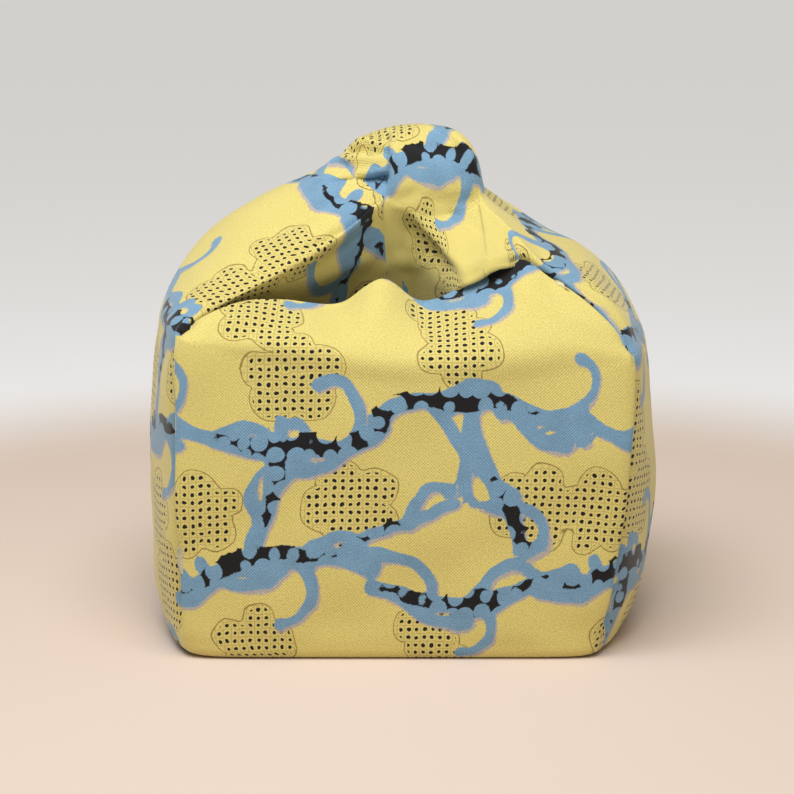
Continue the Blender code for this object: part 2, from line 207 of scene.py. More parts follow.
# The knot's lower front edge, between the two rims, stands out and sags a little. Its crown and its taper
# mean what they do in GATHER.
KNOT_FRONT_STEPS = 30
KNOT_FRONT_BULGE = 1.5
KNOT_FRONT_SAG = 6.0
KNOT_FRONT_SAG_SHAPE = 0.7
KNOT_FRONT_CROWN = 0.8
KNOT_FRONT_TAPER = 0.12

# How the columns gather round the knot, and how the hood's cloth rises to it. A rise below 1 is a
# rounded shoulder and 1 is a straight slope. The shoulder stands out by that many millimetres at a
# quarter of the way and sinks by as many at three quarters. The crown is how round the knot closes, and
# the taper is how much narrower it gets on the way.
GATHER = (
    # place, angle round the knot in degrees, rise, shoulder, crown, taper
    (1.0, 318.0, 0.8, 0.0, 0.6, 0.16),
    (1.25, 341.0, 0.62, 1.2, 0.46, 0.17),
    (1.5, 360.0, 0.5, 2.2, 0.42, 0.17),
    (2.0, 396.0, 0.78, 0.0, 0.6, 0.14),
    (2.5, 450.0, 0.95, 0.0, 1.0, 0.0),
    (3.0, 506.0, 0.78, 0.0, 1.15, 0.0),
    (3.5, 540.0, 0.46, 1.2, 1.2, 0.0),
    (3.75, 570.0, 0.62, 0.6, 1.1, 0.0),
    (4.0, 603.0, 0.85, 0.0, 0.95, 0.0),
)

# The neck is the loop where the knot begins. It is higher at the left and lower at the front.
NECK_CENTRE = (3.0, -4.0)
NECK_HALF = (27.0, 19.0)
NECK_HEIGHT = 177.5
NECK_TILT = 6.5
NECK_FRONT_DROP = 4.0
HOOD_ROWS = 64
KNOT_TOP = 196.3
KNOT_ROWS = 26

# The wrap at the knot ends in an upright fold, and the left corner of cloth is drawn in under it. Levels
# are heights above the floor, and each reach is how far from its level the cloth is drawn in.
WRAP_EDGE_X = -5.0
WRAP_EDGE_WIDTH = 0.9
WRAP_FADE_X = -34.0
WRAP_FRONT, WRAP_BACK = -12.0, -4.0
WRAP_DEPTH = 5.5
WRAP_LEVEL = 183.0
WRAP_REACH = 12.0

# Under the upper folds the left corner goes in through a narrow slit, which rises towards the wrap.
SLIT_DEPTH = 8.5
SLIT_LEVEL = 177.0
SLIT_SLOPE = 0.1
SLIT_REACH = 1.8

# Soft folds that run from the back corners and the back face up to the knot. They grow and fade between
# these places around the bag.
BACK_FOLD_HEIGHT = 2.6
BACK_FOLDS = 5
BACK_FOLD_DRIFT = 1.2
BACK_FOLD_SHAPE = 0.8
BACK_FOLD_STARTS = (1.7, 2.1)
BACK_FOLD_ENDS = (2.9, 3.3)

# The cloth is rounded a little where rows of different parts meet.
SOFTENING_PASSES = 3
SOFTENING_SHARE = 0.4

# The print repeats over this width and height. The vine's stems start anywhere in the repeat, and each
# twig starts from a stem and ends in a drop. Angles are in degrees and bends in degrees per millimetre.
# A fillet rounds the joints between strokes.
REPEAT = (150.0, 132.0)
STROKE_STEP = 1.0
JOINT_FILLET = 1.6
DROP_SIZE = 1.1
DROP_SHAPE = 12
STEMS = (
    # x, y, heading, length, first bend, last bend, first half width, last half width
    (0.0, 30.0, 28.0, 79.0, -0.3, -1.12, 4.0, 2.9),
    (74.0, 31.0, -30.0, 80.0, 1.1, 0.35, 2.9, 4.0),
    (0.0, 97.0, -30.0, 80.0, 0.5, 0.95, 2.6, 3.8),
    (75.0, 96.0, 30.0, 80.0, -1.2, -0.3, 3.8, 2.6),
    (30.0, 38.0, 96.0, 58.0, -1.6, 1.5, 3.3, 2.4),
    (108.0, 104.0, -96.0, 66.0, 1.9, -1.3, 3.3, 2.6),
    (60.0, 42.0, 16.0, 50.0, 1.6, -2.2, 2.2, 1.9),
    (96.0, 99.0, -52.0, 44.0, -0.8, 2.4, 2.4, 1.9),
)
TWIGS = (
    # stem, share along it, turn, length, first bend, last bend, first half width, last half width
    (0, 0.22, -62.0, 34.0, 1.0, 7.5, 2.9, 1.5),
    (0, 0.3, -50.0, 24.0, 2.0, 8.0, 2.5, 1.7),
    (0, 0.6, -48.0, 38.0, -1.0, -6.5, 2.9, 1.4),
    (0, 0.62, 40.0, 36.0, -1.0, -7.5, 3.1, 1.6),
    (0, 0.9, 34.0, 46.0, -0.5, -6.0, 3.1, 1.6),
    (1, 0.2, -40.0, 32.0, 1.0, 8.0, 2.7, 1.5),
    (1, 0.28, -62.0, 22.0, 2.0, 9.0, 2.3, 1.7),
    (1, 0.5, 52.0, 42.0, -0.6, -7.0, 3.1, 1.5),
    (1, 0.55, -56.0, 28.0, -2.0, -8.0, 2.5, 1.7),
    (1, 0.8, -44.0, 36.0, 0.4, 8.0, 2.9, 1.6),
    (2, 0.2, 46.0, 36.0, -1.0, -7.5, 2.7, 1.5),
    (2, 0.45, -40.0, 40.0, 1.0, 6.5, 3.1, 1.5),
    (2, 0.52, -58.0, 26.0, 2.0, 9.0, 2.5, 1.6),
    (2, 0.84, 50.0, 36.0, 1.0, 7.0, 2.9, 1.7),
    (3, 0.3, 44.0, 32.0, -2.0, -8.0, 2.7, 1.6),
    (3, 0.62, -46.0, 36.0, 0.6, 7.5, 2.9, 1.5),
    (3, 0.7, -64.0, 24.0, 1.0, 9.0, 2.3, 1.7),
    (3, 0.8, 40.0, 36.0, 1.0, 7.0, 2.5, 1.4),
    (4, 0.35, 52.0, 28.0, -2.0, -8.5, 2.5, 1.6),
    (4, 0.6, -54.0, 32.0, 1.0, 8.0, 2.5, 1.5),
    (5, 0.3, -50.0, 34.0, 1.0, 7.5, 2.7, 1.5),
    (5, 0.65, 50.0, 32.0, -1.0, -8.0, 2.5, 1.6),
    (6, 0.6, 46.0, 24.0, -1.0, -9.0, 2.2, 1.6),
)
ACCENTS = (
    # stem, first share, last share, sideways, first half width, last half width
    (0, 0.0, 0.34, 1.6, 1.4, 4.5),
    (0, 0.34, 0.8, 1.0, 4.5, 1.3),
    (1, 0.06, 0.5, 0.7, 1.3, 4.7),
    (1, 0.5, 0.9, 1.3, 4.7, 1.4),
    (2, 0.2, 0.6, 0.8, 1.3, 4.5),
    (2, 0.6, 1.0, 1.2, 4.5, 3.8),
    (3, 0.0, 0.4, 1.1, 3.8, 4.5),
    (3, 0.4, 0.75, 0.7, 4.5, 1.1),
    (4, 0.3, 0.7, -0.7, 1.1, 4.0),
    (5, 0.5, 0.95, 0.7, 1.3, 4.1),
    (6, 0.1, 0.5, 0.5, 0.9, 3.1),
)
BLOSSOMS = (
    # x, y, radius, turn
    (30.0, 8.0, 17.0, 10.0),
    (66.0, 62.0, 19.0, 40.0),
    (134.0, 62.0, 17.0, 0.0),
    (10.0, 60.0, 17.0, 25.0),
    (104.0, 124.0, 17.0, 55.0),
    (44.0, 112.0, 19.0, 20.0),
    (98.0, 14.0, 14.0, 33.0),
)

# The wobble of a hand-drawn line, as waves that fit the repeat. The turn sets the move up apart from the
# move across.
WOBBLE = (
    # size, waves across, waves up, phase
    (1.1, 3, 2, 0.4),
    (0.7, 5, -4, 1.9),
    (0.3, -8, 7, 0.7),
    (0.22, 13, 9, 2.6),
)
WOBBLE_TURN = 1.7

# A blossom's lobes lie around its heart, all in shares of its radius. The fringe is the vine's shape once
# more, shifted by this much.
BLOSSOM_LOBES = 5
LOBE_PLACE, LOBE_RADIUS, HEART_RADIUS = 0.58, 0.44, 0.62
FRINGE_SHIFT = (-0.9, 1.1)
PRINT_LAYERS = ("vine", "fringe", "accent", "blossom")

# Further from an outline than any place on the cloth.
FAR_AWAY = 1e3

# How each dye ends, by the distance from its outline: how ragged the edge is, where the dye is full and
# where it stops. For lattice lines, dots and the space between rounds these are shares of a cell.
EDGES = {
    "vine": (0.7, -0.2, 0.2),
    "fringe": (2.2, -0.3, 0.3),
    "dark stretch": (1.2, -0.2, 0.2),
    "between rounds": (-0.08, 0.02, -0.02),
    "blossom outline": (0.2, 0.1, 0.3),
    "latticed area": (0.1, -0.2, 0.2),
    "lattice line": (-0.04, 0.482, 0.442),
    "dotted area": (0.2, -1.4, -1.0),
    "dot": (0.1, 0.22, 0.27),
}

# The noises of the cloth, per millimetre: raggedness of the edges, clouds in the ground's dye, the wash of
# the blue and the slubs, which are thicker stretches of thread. The drift moves the dots off their grid.
NOISES = (
    # scale, detail
    (0.9, 3.0),
    (0.04, 4.0),
    (0.14, 5.0),
    (1.3, 2.0),
)
DOT_DRIFT_SCALE = 0.25
HALF_CELL = (0.5, 0.5, 0.0)

# The blue rounds in the dark stretches lie about this far apart, with some disorder. At the stretch's
# outline their radius is this share of the distance, and it gets less by the growth for each millimetre
# further in.
ROUND_SIZE = 6.2
ROUND_DISORDER = 0.6
ROUND_START = 0.6
ROUND_GROWTH = 0.035

# How dark and light the dyes get in their clouds and washes, and how strongly the thinner dyes cover the
# ground. On the reverse, what shows through of each dye is this share.
CLOUD_DARK = 0.9
WASH_DARK, WASH_LIGHT = 0.8, 1.2
LATTICE_STRENGTH, OUTLINE_STRENGTH, FRINGE_STRENGTH = 0.5, 0.8, 0.85
SHOW_THROUGH = 0.22

# The grain that threads and slubs give to the colour, the height of slubs next to that of threads, and the
# relief of both, whose height is in metres.
GRAIN_BASE = 0.7
THREAD_GRAIN = 0.06
SLUB_GRAIN = 0.5
SLUB_HEIGHT = 2.4
RELIEF_STRENGTH = 0.35
RELIEF_HEIGHT = 0.00025

# Where each part of the bag lies on the cloth's print. The print jumps where a tuck begins, and the hood
# takes the shift of the side below it.
PRINT_SHIFTS = {
    "bottom": (40.0, 30.0),
    "body": (0.0, 0.0),
    "right tuck": (0.0, 47.0),
    "left tuck": (0.0, 83.0),
    "knot": (20.0, 60.0),
}
TUCKS = (
    # first place, last place, name
    (1.035, 1.965, "right tuck"),
    (3.035, 3.965, "left tuck"),
)
HOOD_PATCHES = (
    # first place, last place, middle place, name
    (1.0, 2.0, 1.5, "right tuck"),
    (2.0, 3.0, 2.5, "body"),
    (3.0, 4.0, 3.5, "left tuck"),
)

# A column this near to a patch's edge belongs to the patch.
ROUNDING = 1e-6

# The camera looks from the front, a little down, at a point inside the bag. The rise is in degrees.
CAMERA_TARGET = (-2.4, 0.0, 87.1)
CAMERA_DISTANCE = 1100.0
CAMERA_RISE = 12.0
CAMERA_LENS = 124.7
CAMERA_SENSOR = 36.0

# The soft sky's light falls in this direction. The key light is a rectangle that faces its target, with
# place, target and size in metres. The floor's warm pool fades between these shares of its radius.
SKY_DIRECTION = (0.04, 0.44, -1.0)
KEY_PLACE = (-0.1, -0.3, 0.7)
KEY_TARGET = (0.0, -0.05, 0.12)
KEY_SIZE = (0.55, 0.45)
POOL_EDGES = (0.75, 1.25)

# Slack of the cloth, as long waves that run in the direction that x, y and z give. It grows between these
# heights, so that the bag's foot stays flat.
SLACK_HEIGHTS = (2.0, 14.0)
SLACK = (
    # size, length, x, y, z, phase
    (0.35, 61.0, 0.9, 0.3, 0.35, 0.5),
    (0.3, 43.0, -0.4, 0.6, 0.8, 2.1),
    (0.22, 29.0, 0.7, -0.6, 0.5, 4.0),
    (0.12, 17.0, 0.3, 0.8, -0.6, 1.2),
)

# Creases and soft ridges that the solid is too coarse for, placed as the camera sees them: across and up
# from the middle of the view. The bow is how far the line's middle lies to its left. A fold thins out at
# its ends, and it is full where the cloth faces the camera by this share or more.
FOLD_END = 0.02
FOLD_END_SHAPE = 0.5
FOLD_FACING = 0.3
FOLDS = (
    # part, across, up, across at the end, up at the end, bow, width, height
    ("hood knot", -34.0, 93.0, -4.5, 95.0, 1.5, 1.5, 1.6),
    ("hood knot", -32.0, 97.5, -4.5, 98.0, 1.5, 1.2, -2.2),
    ("hood knot", -30.0, 103.0, -4.5, 100.5, 1.8, 1.5, 1.4),
    ("hood knot", -26.0, 107.0, -3.0, 103.5, 1.5, 1.2, -1.6),
    ("hood knot", -36.0, 86.0, -5.5, 86.5, 1.5, 2.2, 2.0),
    ("hood", -34.0, 79.0, -4.5, 84.0, 1.0, 4.0, 2.4),
    ("hood", -40.0, 57.0, -5.0, 79.5, -1.5, 1.6, -1.8),
    ("hood", -52.0, 62.0, -12.0, 84.0, 1.5, 2.4, -1.4),
    ("hood", -62.0, 76.0, -22.0, 98.0, 2.0, 3.0, -1.2),
    ("hood", 40.0, 76.0, 66.0, 46.0, 2.0, 3.0, -1.4),
    ("hood", 44.0, 84.0, 84.0, 40.0, 4.0, 3.5, 1.2),
    ("knot", -3.0, 79.0, 9.0, 83.0, -1.0, 1.4, -1.4),
    ("knot", 10.0, 80.0, 36.0, 79.5, -1.5, 2.0, -1.6),
    ("knot", -1.0, 104.0, 28.0, 98.0, -1.5, 2.4, -0.9),
    ("knot", 22.0, 108.0, 31.0, 84.0, 2.0, 3.0, 1.0),
    ("curtain", 26.4, 50.0, 52.0, 58.5, 0.0, 2.2, 2.4),
    ("curtain", 20.0, 75.0, 34.0, 66.5, 0.6, 1.5, -1.5),
    ("curtain", 6.0, 74.0, 27.0, 51.0, -1.0, 1.6, 1.4),
    ("curtain", 2.0, 71.5, 23.5, 48.5, -1.0, 3.0, -4.0),
    ("curtain", 7.0, 54.0, 16.0, 66.0, 0.5, 1.0, -1.5),
    ("curtain", 10.5, 53.0, 19.0, 63.0, 0.5, 1.0, -1.5),
    ("curtain", -16.0, 52.5, 14.0, 53.5, 0.6, 1.6, 1.4),
    ("curtain", -40.0, 48.0, -8.0, 70.0, -1.0, 1.5, -1.6),
    ("curtain", -34.0, 46.0, -2.0, 62.0, -1.0, 2.0, 1.6),
    ("flap", -86.0, 28.0, -38.0, 39.0, -1.5, 4.0, 1.4),
    ("flap", 93.0, 23.0, 50.0, 44.0, 2.0, 4.0, 1.4),
    ("flap", -6.0, 43.0, -14.0, 26.0, 0.0, 6.0, 1.3),
    ("flap", 8.0, 40.0, 16.0, 24.0, 0.0, 5.0, -1.0),
    ("flap", 46.0, 50.0, 34.0, 28.0, 1.0, 6.0, -1.0),
)


def curve_through(table, at, period=None):
    """Read a smooth curve through a table's rows. The first column is the place along the curve."""
    rows = np.array(table, float)
    if period:
        shift = np.zeros(rows.shape[1])
        shift[0] = period
        rows = np.vstack([rows[-2:] - shift, rows, rows[:2] + shift])
    keys, values = rows[:, 0], rows[:, 1:]
    slopes = np.gradient(values, keys, axis=0)
    at = np.asarray(at, float)
    i = np.clip(np.searchsorted(keys, at, side="right") - 1, 0, len(keys) - 2)
    step = (keys[i + 1] - keys[i])[..., None]
    t = np.clip((at[..., None] - keys[i][..., None]) / step, 0, 1)
    start, end = (1 + 2 * t) * (1 - t) ** 2, t * t * (3 - 2 * t)
    leave, arrive = t * (1 - t) ** 2 * step, t * t * (t - 1) * step
    return start * values[i] + end * values[i + 1] + leave * slopes[i] + arrive * slopes[i + 1]


def smooth_step(low, high, value):
    """Go softly from 0 at low to 1 at high."""
    t = np.clip((value - low) / (high - low), 0, 1)
    return t * t * (3 - 2 * t)


def column_places():
    """Return every column's place around the bag, and the number of columns across the front."""
    places = [0.0]
    for first, last, steps in FRONT_COLUMNS + RIGHT_COLUMNS + BACK_COLUMNS + LEFT_COLUMNS:
        places += list(np.linspace(first, last, steps + 1)[1:])
    front = sum(steps for _, _, steps in FRONT_COLUMNS)
    return np.array(places[:-1]), front + 1


def square_direction(place):
    """Return a place's point on the edge of the square from -1 to 1."""
    side, along = np.floor(place).astype(int) % 4, 2 * (place % 1) - 1
    across = np.choose(side, [along, np.ones_like(along), -along, -np.ones_like(along)])
    deep = np.choose(side, [-np.ones_like(along), along, np.ones_like(along), -along])
    return across, deep


def body_ring(place, height):
    """Return the points of the body's upright faces at these places and heights."""
    section = curve_through(BODY_SECTIONS, height)
    left, right, front, back, squareness, left_pleat, right_pleat, groove = section.T
    across, deep = square_direction(place)
    round_off = (np.abs(across) ** squareness + np.abs(deep) ** squareness) ** (-1 / squareness)
    across, deep = across * round_off, deep * round_off
    x = (right - left) / 2 + (right + left) / 2 * across
    y = np.where(deep < 0, front, back) * deep
    on_side = smooth_step(SIDE_START, 1.0, np.abs(across))
    pleat = np.where(across < 0, left_pleat, right_pleat)
    swell = pleat * np.maximum(1 - (deep / PLEAT_REACH) ** 2, 0) ** PLEAT_SHAPE
    crease = groove * np.exp(-(((np.abs(deep) - GROOVE_PLACE) / GROOVE_WIDTH) ** 2))
    x = x + np.sign(across) * on_side * (swell - crease)
    return np.stack([x, y, height], axis=1)


def neck_ring(place):
    """Return the loop where the gathered cloth meets the knot, with the rest of GATHER's columns."""
    angle, *shape = curve_through(GATHER, place).T
    angle = np.radians(angle)
    x = NECK_CENTRE[0] + NECK_HALF[0] * np.cos(angle)
    y = NECK_CENTRE[1] + NECK_HALF[1] * np.sin(angle)
    z = NECK_HEIGHT - NECK_TILT * np.cos(angle) + NECK_FRONT_DROP * np.sin(angle)
    return np.stack([x, y, z], axis=1), shape


def wrap_recess(points):
    """Draw the cloth left of the wrap's fold in under it, and return the moved points."""
    x, y, z = points.T
    beside = 1 - smooth_step(WRAP_EDGE_X - WRAP_EDGE_WIDTH, WRAP_EDGE_X, x)
    fade = smooth_step(WRAP_FADE_X, WRAP_EDGE_X - WRAP_EDGE_WIDTH, x)
    level = np.exp(-(((z - WRAP_LEVEL) / WRAP_REACH) ** 2))
    at_front = 1 - smooth_step(WRAP_FRONT, WRAP_BACK, y)
    slit = np.exp(-(((z - SLIT_LEVEL - SLIT_SLOPE * (x - WRAP_EDGE_X)) / SLIT_REACH) ** 2))
    moved = points.copy()
    moved[:, 1] += (WRAP_DEPTH * level + SLIT_DEPTH * slit) * beside * fade * at_front
    return moved


def back_folds(place, share):
    """Return how far the folds of the back slope stand out, from the back edge up to the knot."""
    on_back = smooth_step(*BACK_FOLD_STARTS, place) * (1 - smooth_step(*BACK_FOLD_ENDS, place))
    drift = BACK_FOLD_DRIFT * np.sin(3 * place)
    wave = np.sin((place - 2) * BACK_FOLDS * 2 * np.pi + drift)
    return BACK_FOLD_HEIGHT * on_back * wave * np.sin(np.pi * share) ** BACK_FOLD_SHAPE


def body_rows(place):
    """Return the rows of the bottom and of the upright faces, from the middle of the bottom up."""
    foot = body_ring(place, np.zeros_like(place))
    rows = [foot * [share, share, 1] for share in BOTTOM_RINGS]
    top = curve_through(BODY_TOP, place, period=4)[:, 0]
    return rows + [body_ring(place, top * share) for share in BODY_ROWS]


def path_rows(points, shares):
    """Return the rows of a smooth path that runs through a few rows of points."""
    keys = np.linspace(0, 1, len(points))
    stacked = np.array([np.concatenate([[key], row.ravel()]) for key, row in zip(keys, points)])
    read = curve_through(stacked, np.array(shares))
    return [row.reshape(-1, 3) for row in read]


def flap_rows(start, place):
    """Return the rows of the front flap above its first row: over the edge, up to the lip and in."""
    edge, depth, height = curve_through(FLAP_SECTIONS, place).T
    x = start[:, 0]

    def row(y, z, draw_in):
        return np.stack([x * draw_in, y, z], axis=1)

    edge_depth = start[:, 1] * FRONT_EDGE_SHARE
    from_corner = smooth_step(0, CORNER_REACH, np.minimum(place, 1 - place))
    drop = CORNER_LIP_DROP + (LIP_DROP - CORNER_LIP_DROP) * from_corner
    middle_depth = (edge_depth + depth) / 2
    middle_height = edge + (height - edge) * FLAP_MIDDLE_RISE
    at_edge, at_middle, before_lip, at_lip, past_lip, at_end = FLAP_WIDTHS
    lip = [
        row(depth - LIP_RADIUS, height - LIP_START_DROP * LIP_RADIUS, before_lip),
        row(depth, height, at_lip),
        row(depth + LIP_RADIUS, height - LIP_RADIUS, past_lip),
        row(depth + LIP_RADIUS, height - drop, at_end),
    ]
    rise = [start, row(edge_depth, edge, at_edge), row(middle_depth, middle_height, at_middle)]
    path = rise + lip
    stops = [np.linspace(0, 3, 3 * FLAP_STEPS + 1)[1:], np.linspace(3, 6, 3 * LIP_STEPS + 1)[1:]]
    return path_rows(path, np.concatenate(stops) / (len(path) - 1))


def hood_rows(base, place):
    """Return the rows from the side and back faces' top up to the neck of the knot."""
    neck, (rise, shoulder, *_) = neck_ring(place)
    spread = (1 + 1 / rise) / 2
    by_left = smooth_step(4 - RIM_REACH, 4, place)[:, None]
    by_right = 1 - smooth_step(1, 1 + RIM_REACH, place)[:, None]
    rows = []
    for step in range(1, HOOD_ROWS + 1):
        way = step / HOOD_ROWS
        share = way**spread
        plan = base[:, :2] + (neck[:, :2] - base[:, :2]) * share[:, None]
        height = base[:, 2] + (neck[:, 2] - base[:, 2]) * share**rise
        height = height + shoulder * np.sin(2 * np.pi * share) + back_folds(place, share)
        row = np.column_stack([plan, height])
        row = row + by_left * (curve_through(LEFT_RIM, way) - row[-1])
        row = row + by_right * (curve_through(RIGHT_RIM, way) - row[0])
        rows.append(row)
    return rows


def knot_front(left, right):
    """Return the points of the knot's lower front edge, between the two rims' upper ends."""
    share = np.arange(1, KNOT_FRONT_STEPS)[:, None] / KNOT_FRONT_STEPS
    bulge = np.array([0, -KNOT_FRONT_BULGE, 0]) * np.sin(np.pi * share)
    sag = np.array([0, 0, -KNOT_FRONT_SAG]) * np.sin(np.pi * share) ** KNOT_FRONT_SAG_SHAPE
    return left + (right - left) * share + bulge + sag


def knot_rows(ring, crown, taper):
    """Return the rows that close the knot, from its neck up to its top."""
    centre = np.array(NECK_CENTRE)
    rows = []
    for step in range(1, KNOT_ROWS):
        turn = np.pi / 2 * step / KNOT_ROWS
        inward, upward = np.cos(turn) ** crown, np.sin(turn) ** crown
        plan = centre + (ring[:, :2] - centre) * (inward * (1 - taper * upward))[:, None]
        height = ring[:, 2] + (KNOT_TOP - ring[:, 2]) * upward
        rows.append(np.column_stack([plan, height]))
    return rows


def unit(vectors):
    """Return the vectors at a length of one."""
    return vectors / np.linalg.norm(vectors, axis=1, keepdims=True)


def curtain_rows(rim, ends, beside, along):
    """Return the rows of the inner folds, from the rim down to the curtain's foot."""
    foot = curve_through(CURTAIN_SECTIONS, along)
    path = np.vstack([ends[0], rim, ends[1]])
    run = unit(path[2:] - path[:-2])
    hood = beside - rim
    hood = unit(hood - run * np.sum(hood * run, axis=1, keepdims=True))
    outward = np.cross(run, hood)
    fall = foot - rim
    fall = unit(fall - run * np.sum(fall * run, axis=1, keepdims=True))
    turn = np.arctan2(-np.sum(fall * outward, axis=1), -np.sum(fall * hood, axis=1))[:, None]
    turn = np.where(np.abs(turn) < LEAST_TURN, LEAST_TURN, turn)
    radius = ROLL_LENGTH / turn
    rows = []
    for step in range(1, ROLL_STEPS + 1):
        angle = turn * step / ROLL_STEPS
        rows.append(rim - hood * radius * np.sin(angle) - outward * radius * (1 - np.cos(angle)))
    start = rows[-1]
    return rows + [start + (foot - start) * share for share in CURTAIN_SHARES]


def lengths_up(rows):
    """Return how far each point of each row is from the first row, along its column."""
    steps = np.linalg.norm(np.diff(rows, axis=0), axis=2)
    return np.vstack([np.zeros(rows.shape[1]), np.cumsum(steps, axis=0)])


def lengths_across(row):
    """Return how far each point of a row is from its first point, along the row."""
    return np.concatenate([[0.0], np.cumsum(np.linalg.norm(np.diff(row, axis=0), axis=1))])


class Cloth:
    """The sheet's points and faces, with the place of each face corner on the flat print."""

    def __init__(self):
        self.points = []
        self.parts = []
        self.faces = []
        self.places = []

    def add_row(self, row, part):
        """Add a row of points of a part of the bag, and return their numbers."""
        first = len(self.points)
        self.points += [tuple(point) for point in row]
        self.parts += [part] * len(row)
        return list(range(first, len(self.points)))

    def add_face(self, corners, places, flip=False):
        """Add one face, with its corners' places on the print."""
        self.faces.append(corners[::-1] if flip else corners)
        self.places += places[::-1] if flip else places

    def join(self, low, high, low_places, high_places, closed=False, flip=False, shifts=None):
        """Fill the strip between two rows. A closed strip has one more place than points."""
        count = len(low)
        for i in range(count if closed else count - 1):
            j = (i + 1) % count
            places = [low_places[i], low_places[i + 1], high_places[i + 1], high_places[i]]
            if shifts is not None:
                places = [place + shifts[i] for place in places]
            self.add_face([low[i], low[j], high[j], high[i]], places, flip)

    def cap(self, row, places, centre, part, centre_place, flip=False):
        """Close a row with triangles to one point."""
        middle = self.add_row([centre], part)[0]
        for i, corner in enumerate(row):
            corners = [corner, row[(i + 1) % len(row)], middle]
            self.add_face(corners, [places[i], places[i + 1], centre_place], flip)


def closed_pairs(across, up):
    """Pair a closed row's two lengths, with the first point once more at the row's end."""
    return np.column_stack([across, np.append(up, up[0])])


def add_body(cloth, place):
    """Add the bottom and the upright faces, and return their rows, top lengths and widths."""
    rows = np.array(body_rows(place))
    upright = rows[len(BOTTOM_RINGS) :]
    middle = upright[len(upright) // 2]
    widths = lengths_across(np.vstack([middle, middle[:1]]))
    heights = lengths_up(upright)
    shifts = np.tile(PRINT_SHIFTS["body"], (len(place), 1))
    for first, last, name in TUCKS:
        shifts[(place >= first) & (place < last)] = PRINT_SHIFTS[name]
    numbers = [cloth.add_row(row, "body") for row in rows]
    flat = [np.vstack([row, row[:1]])[:, :2] + PRINT_SHIFTS["bottom"] for row in rows]
    foot = len(BOTTOM_RINGS)
    centre_place = np.array(PRINT_SHIFTS["bottom"])
    cloth.cap(numbers[0], flat[0], (0.0, 0.0, 0.0), "body", centre_place, flip=True)
    for i in range(foot):
        cloth.join(numbers[i], numbers[i + 1], flat[i], flat[i + 1], closed=True)
    for i in range(foot, len(rows) - 1):
        low, high = (closed_pairs(widths, heights[k - foot]) for k in (i, i + 1))
        cloth.join(numbers[i], numbers[i + 1], low, high, closed=True, shifts=shifts)
    return rows[-1], numbers[-1], widths, heights[-1]


def add_flap(cloth, top, numbers, place, front, widths, heights):
    """Add the front flap over the body's front columns, drawn in to the mouth's two corners."""
    mouth = slice(1, front - 1)
    rows = np.array([top[mouth]] + flap_rows(top[mouth], place[mouth]))
    rises = lengths_up(rows) + heights[mouth]
    lower = numbers[mouth]
    left, right = numbers[0], numbers[front - 1]
    left_place = np.array([widths[0], heights[0]])
    right_place = np.array([widths[front - 1], heights[front - 1]])
    for i in range(1, len(rows)):
        upper = cloth.add_row(rows[i], "flap")
        low, high = (np.column_stack([widths[mouth], rises[k]]) for k in (i - 1, i))
        cloth.join(lower, upper, low, high)
        cloth.add_face([left, lower[0], upper[0]], [left_place, low[0], high[0]])
        cloth.add_face([right, upper[-1], lower[-1]], [right_place, high[-1], low[-1]])
        lower = upper


def add_hood(cloth, base, numbers, sides, widths, heights):
    """Add the hood, and return its rows, their numbers and the rims' places on the print."""
    rows = np.array([base] + hood_rows(base, sides))
    grid = [numbers] + [cloth.add_row(row, "hood") for row in rows[1:]]
    rises = lengths_up(rows) + heights
    rims = []
    for first, last, middle, name in HOOD_PATCHES:
        part = np.flatnonzero((sides >= first - ROUNDING) & (sides <= last + ROUNDING))
        spine = np.argmin(np.abs(sides[part] - middle))
        places = []
        for row, rise in zip(rows[:, part], rises[:, part]):
            across = lengths_across(row)
            flat = np.column_stack([across - across[spine] + widths[part[spine]], rise])
            places.append(flat + PRINT_SHIFTS[name])
        for i in range(len(rows) - 1):
            low, high = ([grid[k][n] for n in part] for k in (i, i + 1))
            cloth.join(low, high, places[i], places[i + 1])
        rims.append(np.array(places))
    return rows, grid, rims[-1][:, -1], rims[0][:, 0]


def add_knot(cloth, hood_top, numbers, sides, arc, arc_numbers):
    """Add the rounded cloth of the knot over the neck, and return its rows and its lowest places."""
    *_, crown, taper = neck_ring(sides)[1]
    crown = np.append(crown, np.full(len(arc), KNOT_FRONT_CROWN))
    taper = np.append(taper, np.linspace(0, KNOT_FRONT_TAPER, len(arc)))
    ring = np.vstack([hood_top, arc])
    top = np.array([*NECK_CENTRE, KNOT_TOP])
    rows = np.array([ring] + knot_rows(ring, crown, taper) + [np.tile(top, (len(ring), 1))])
    reach = lengths_up(rows)
    reach = reach[-1] - reach
    way = unit(ring[:, :2] - top[:2])
    places = [way * far[:, None] + PRINT_SHIFTS["knot"] for far in reach]
    lower = numbers + arc_numbers
    for i in range(1, len(rows) - 1):
        upper = cloth.add_row(rows[i], "knot")
        low, high = (np.vstack([places[k], places[k][:1]]) for k in (i - 1, i))
        cloth.join(lower, upper, low, high, closed=True)
        lower = upper
    ends = np.vstack([places[-2], places[-2][:1]])
    cloth.cap(lower, ends, tuple(top), "knot", np.array(PRINT_SHIFTS["knot"]))
    return rows, places[0]


def add_curtain(cloth, rim, numbers, folds, edges):
    """Add the inner folds under the rim. Each stretch of the rim carries its print on over the edge."""
    rows = np.array([rim] + folds)
    drops = lengths_up(rows)
    grid = [numbers] + [cloth.add_row(row, "curtain") for row in folds]
    for first, last, places in edges:
        part = slice(first, last + 1)
        run = unit(np.gradient(places, axis=0))
        side = np.column_stack([run[:, 1], -run[:, 0]])
        for i in range(len(rows) - 1):
            high, low = (places + side * drops[k][part, None] for k in (i, i + 1))
            cloth.join(grid[i + 1][part], grid[i][part], low, high)


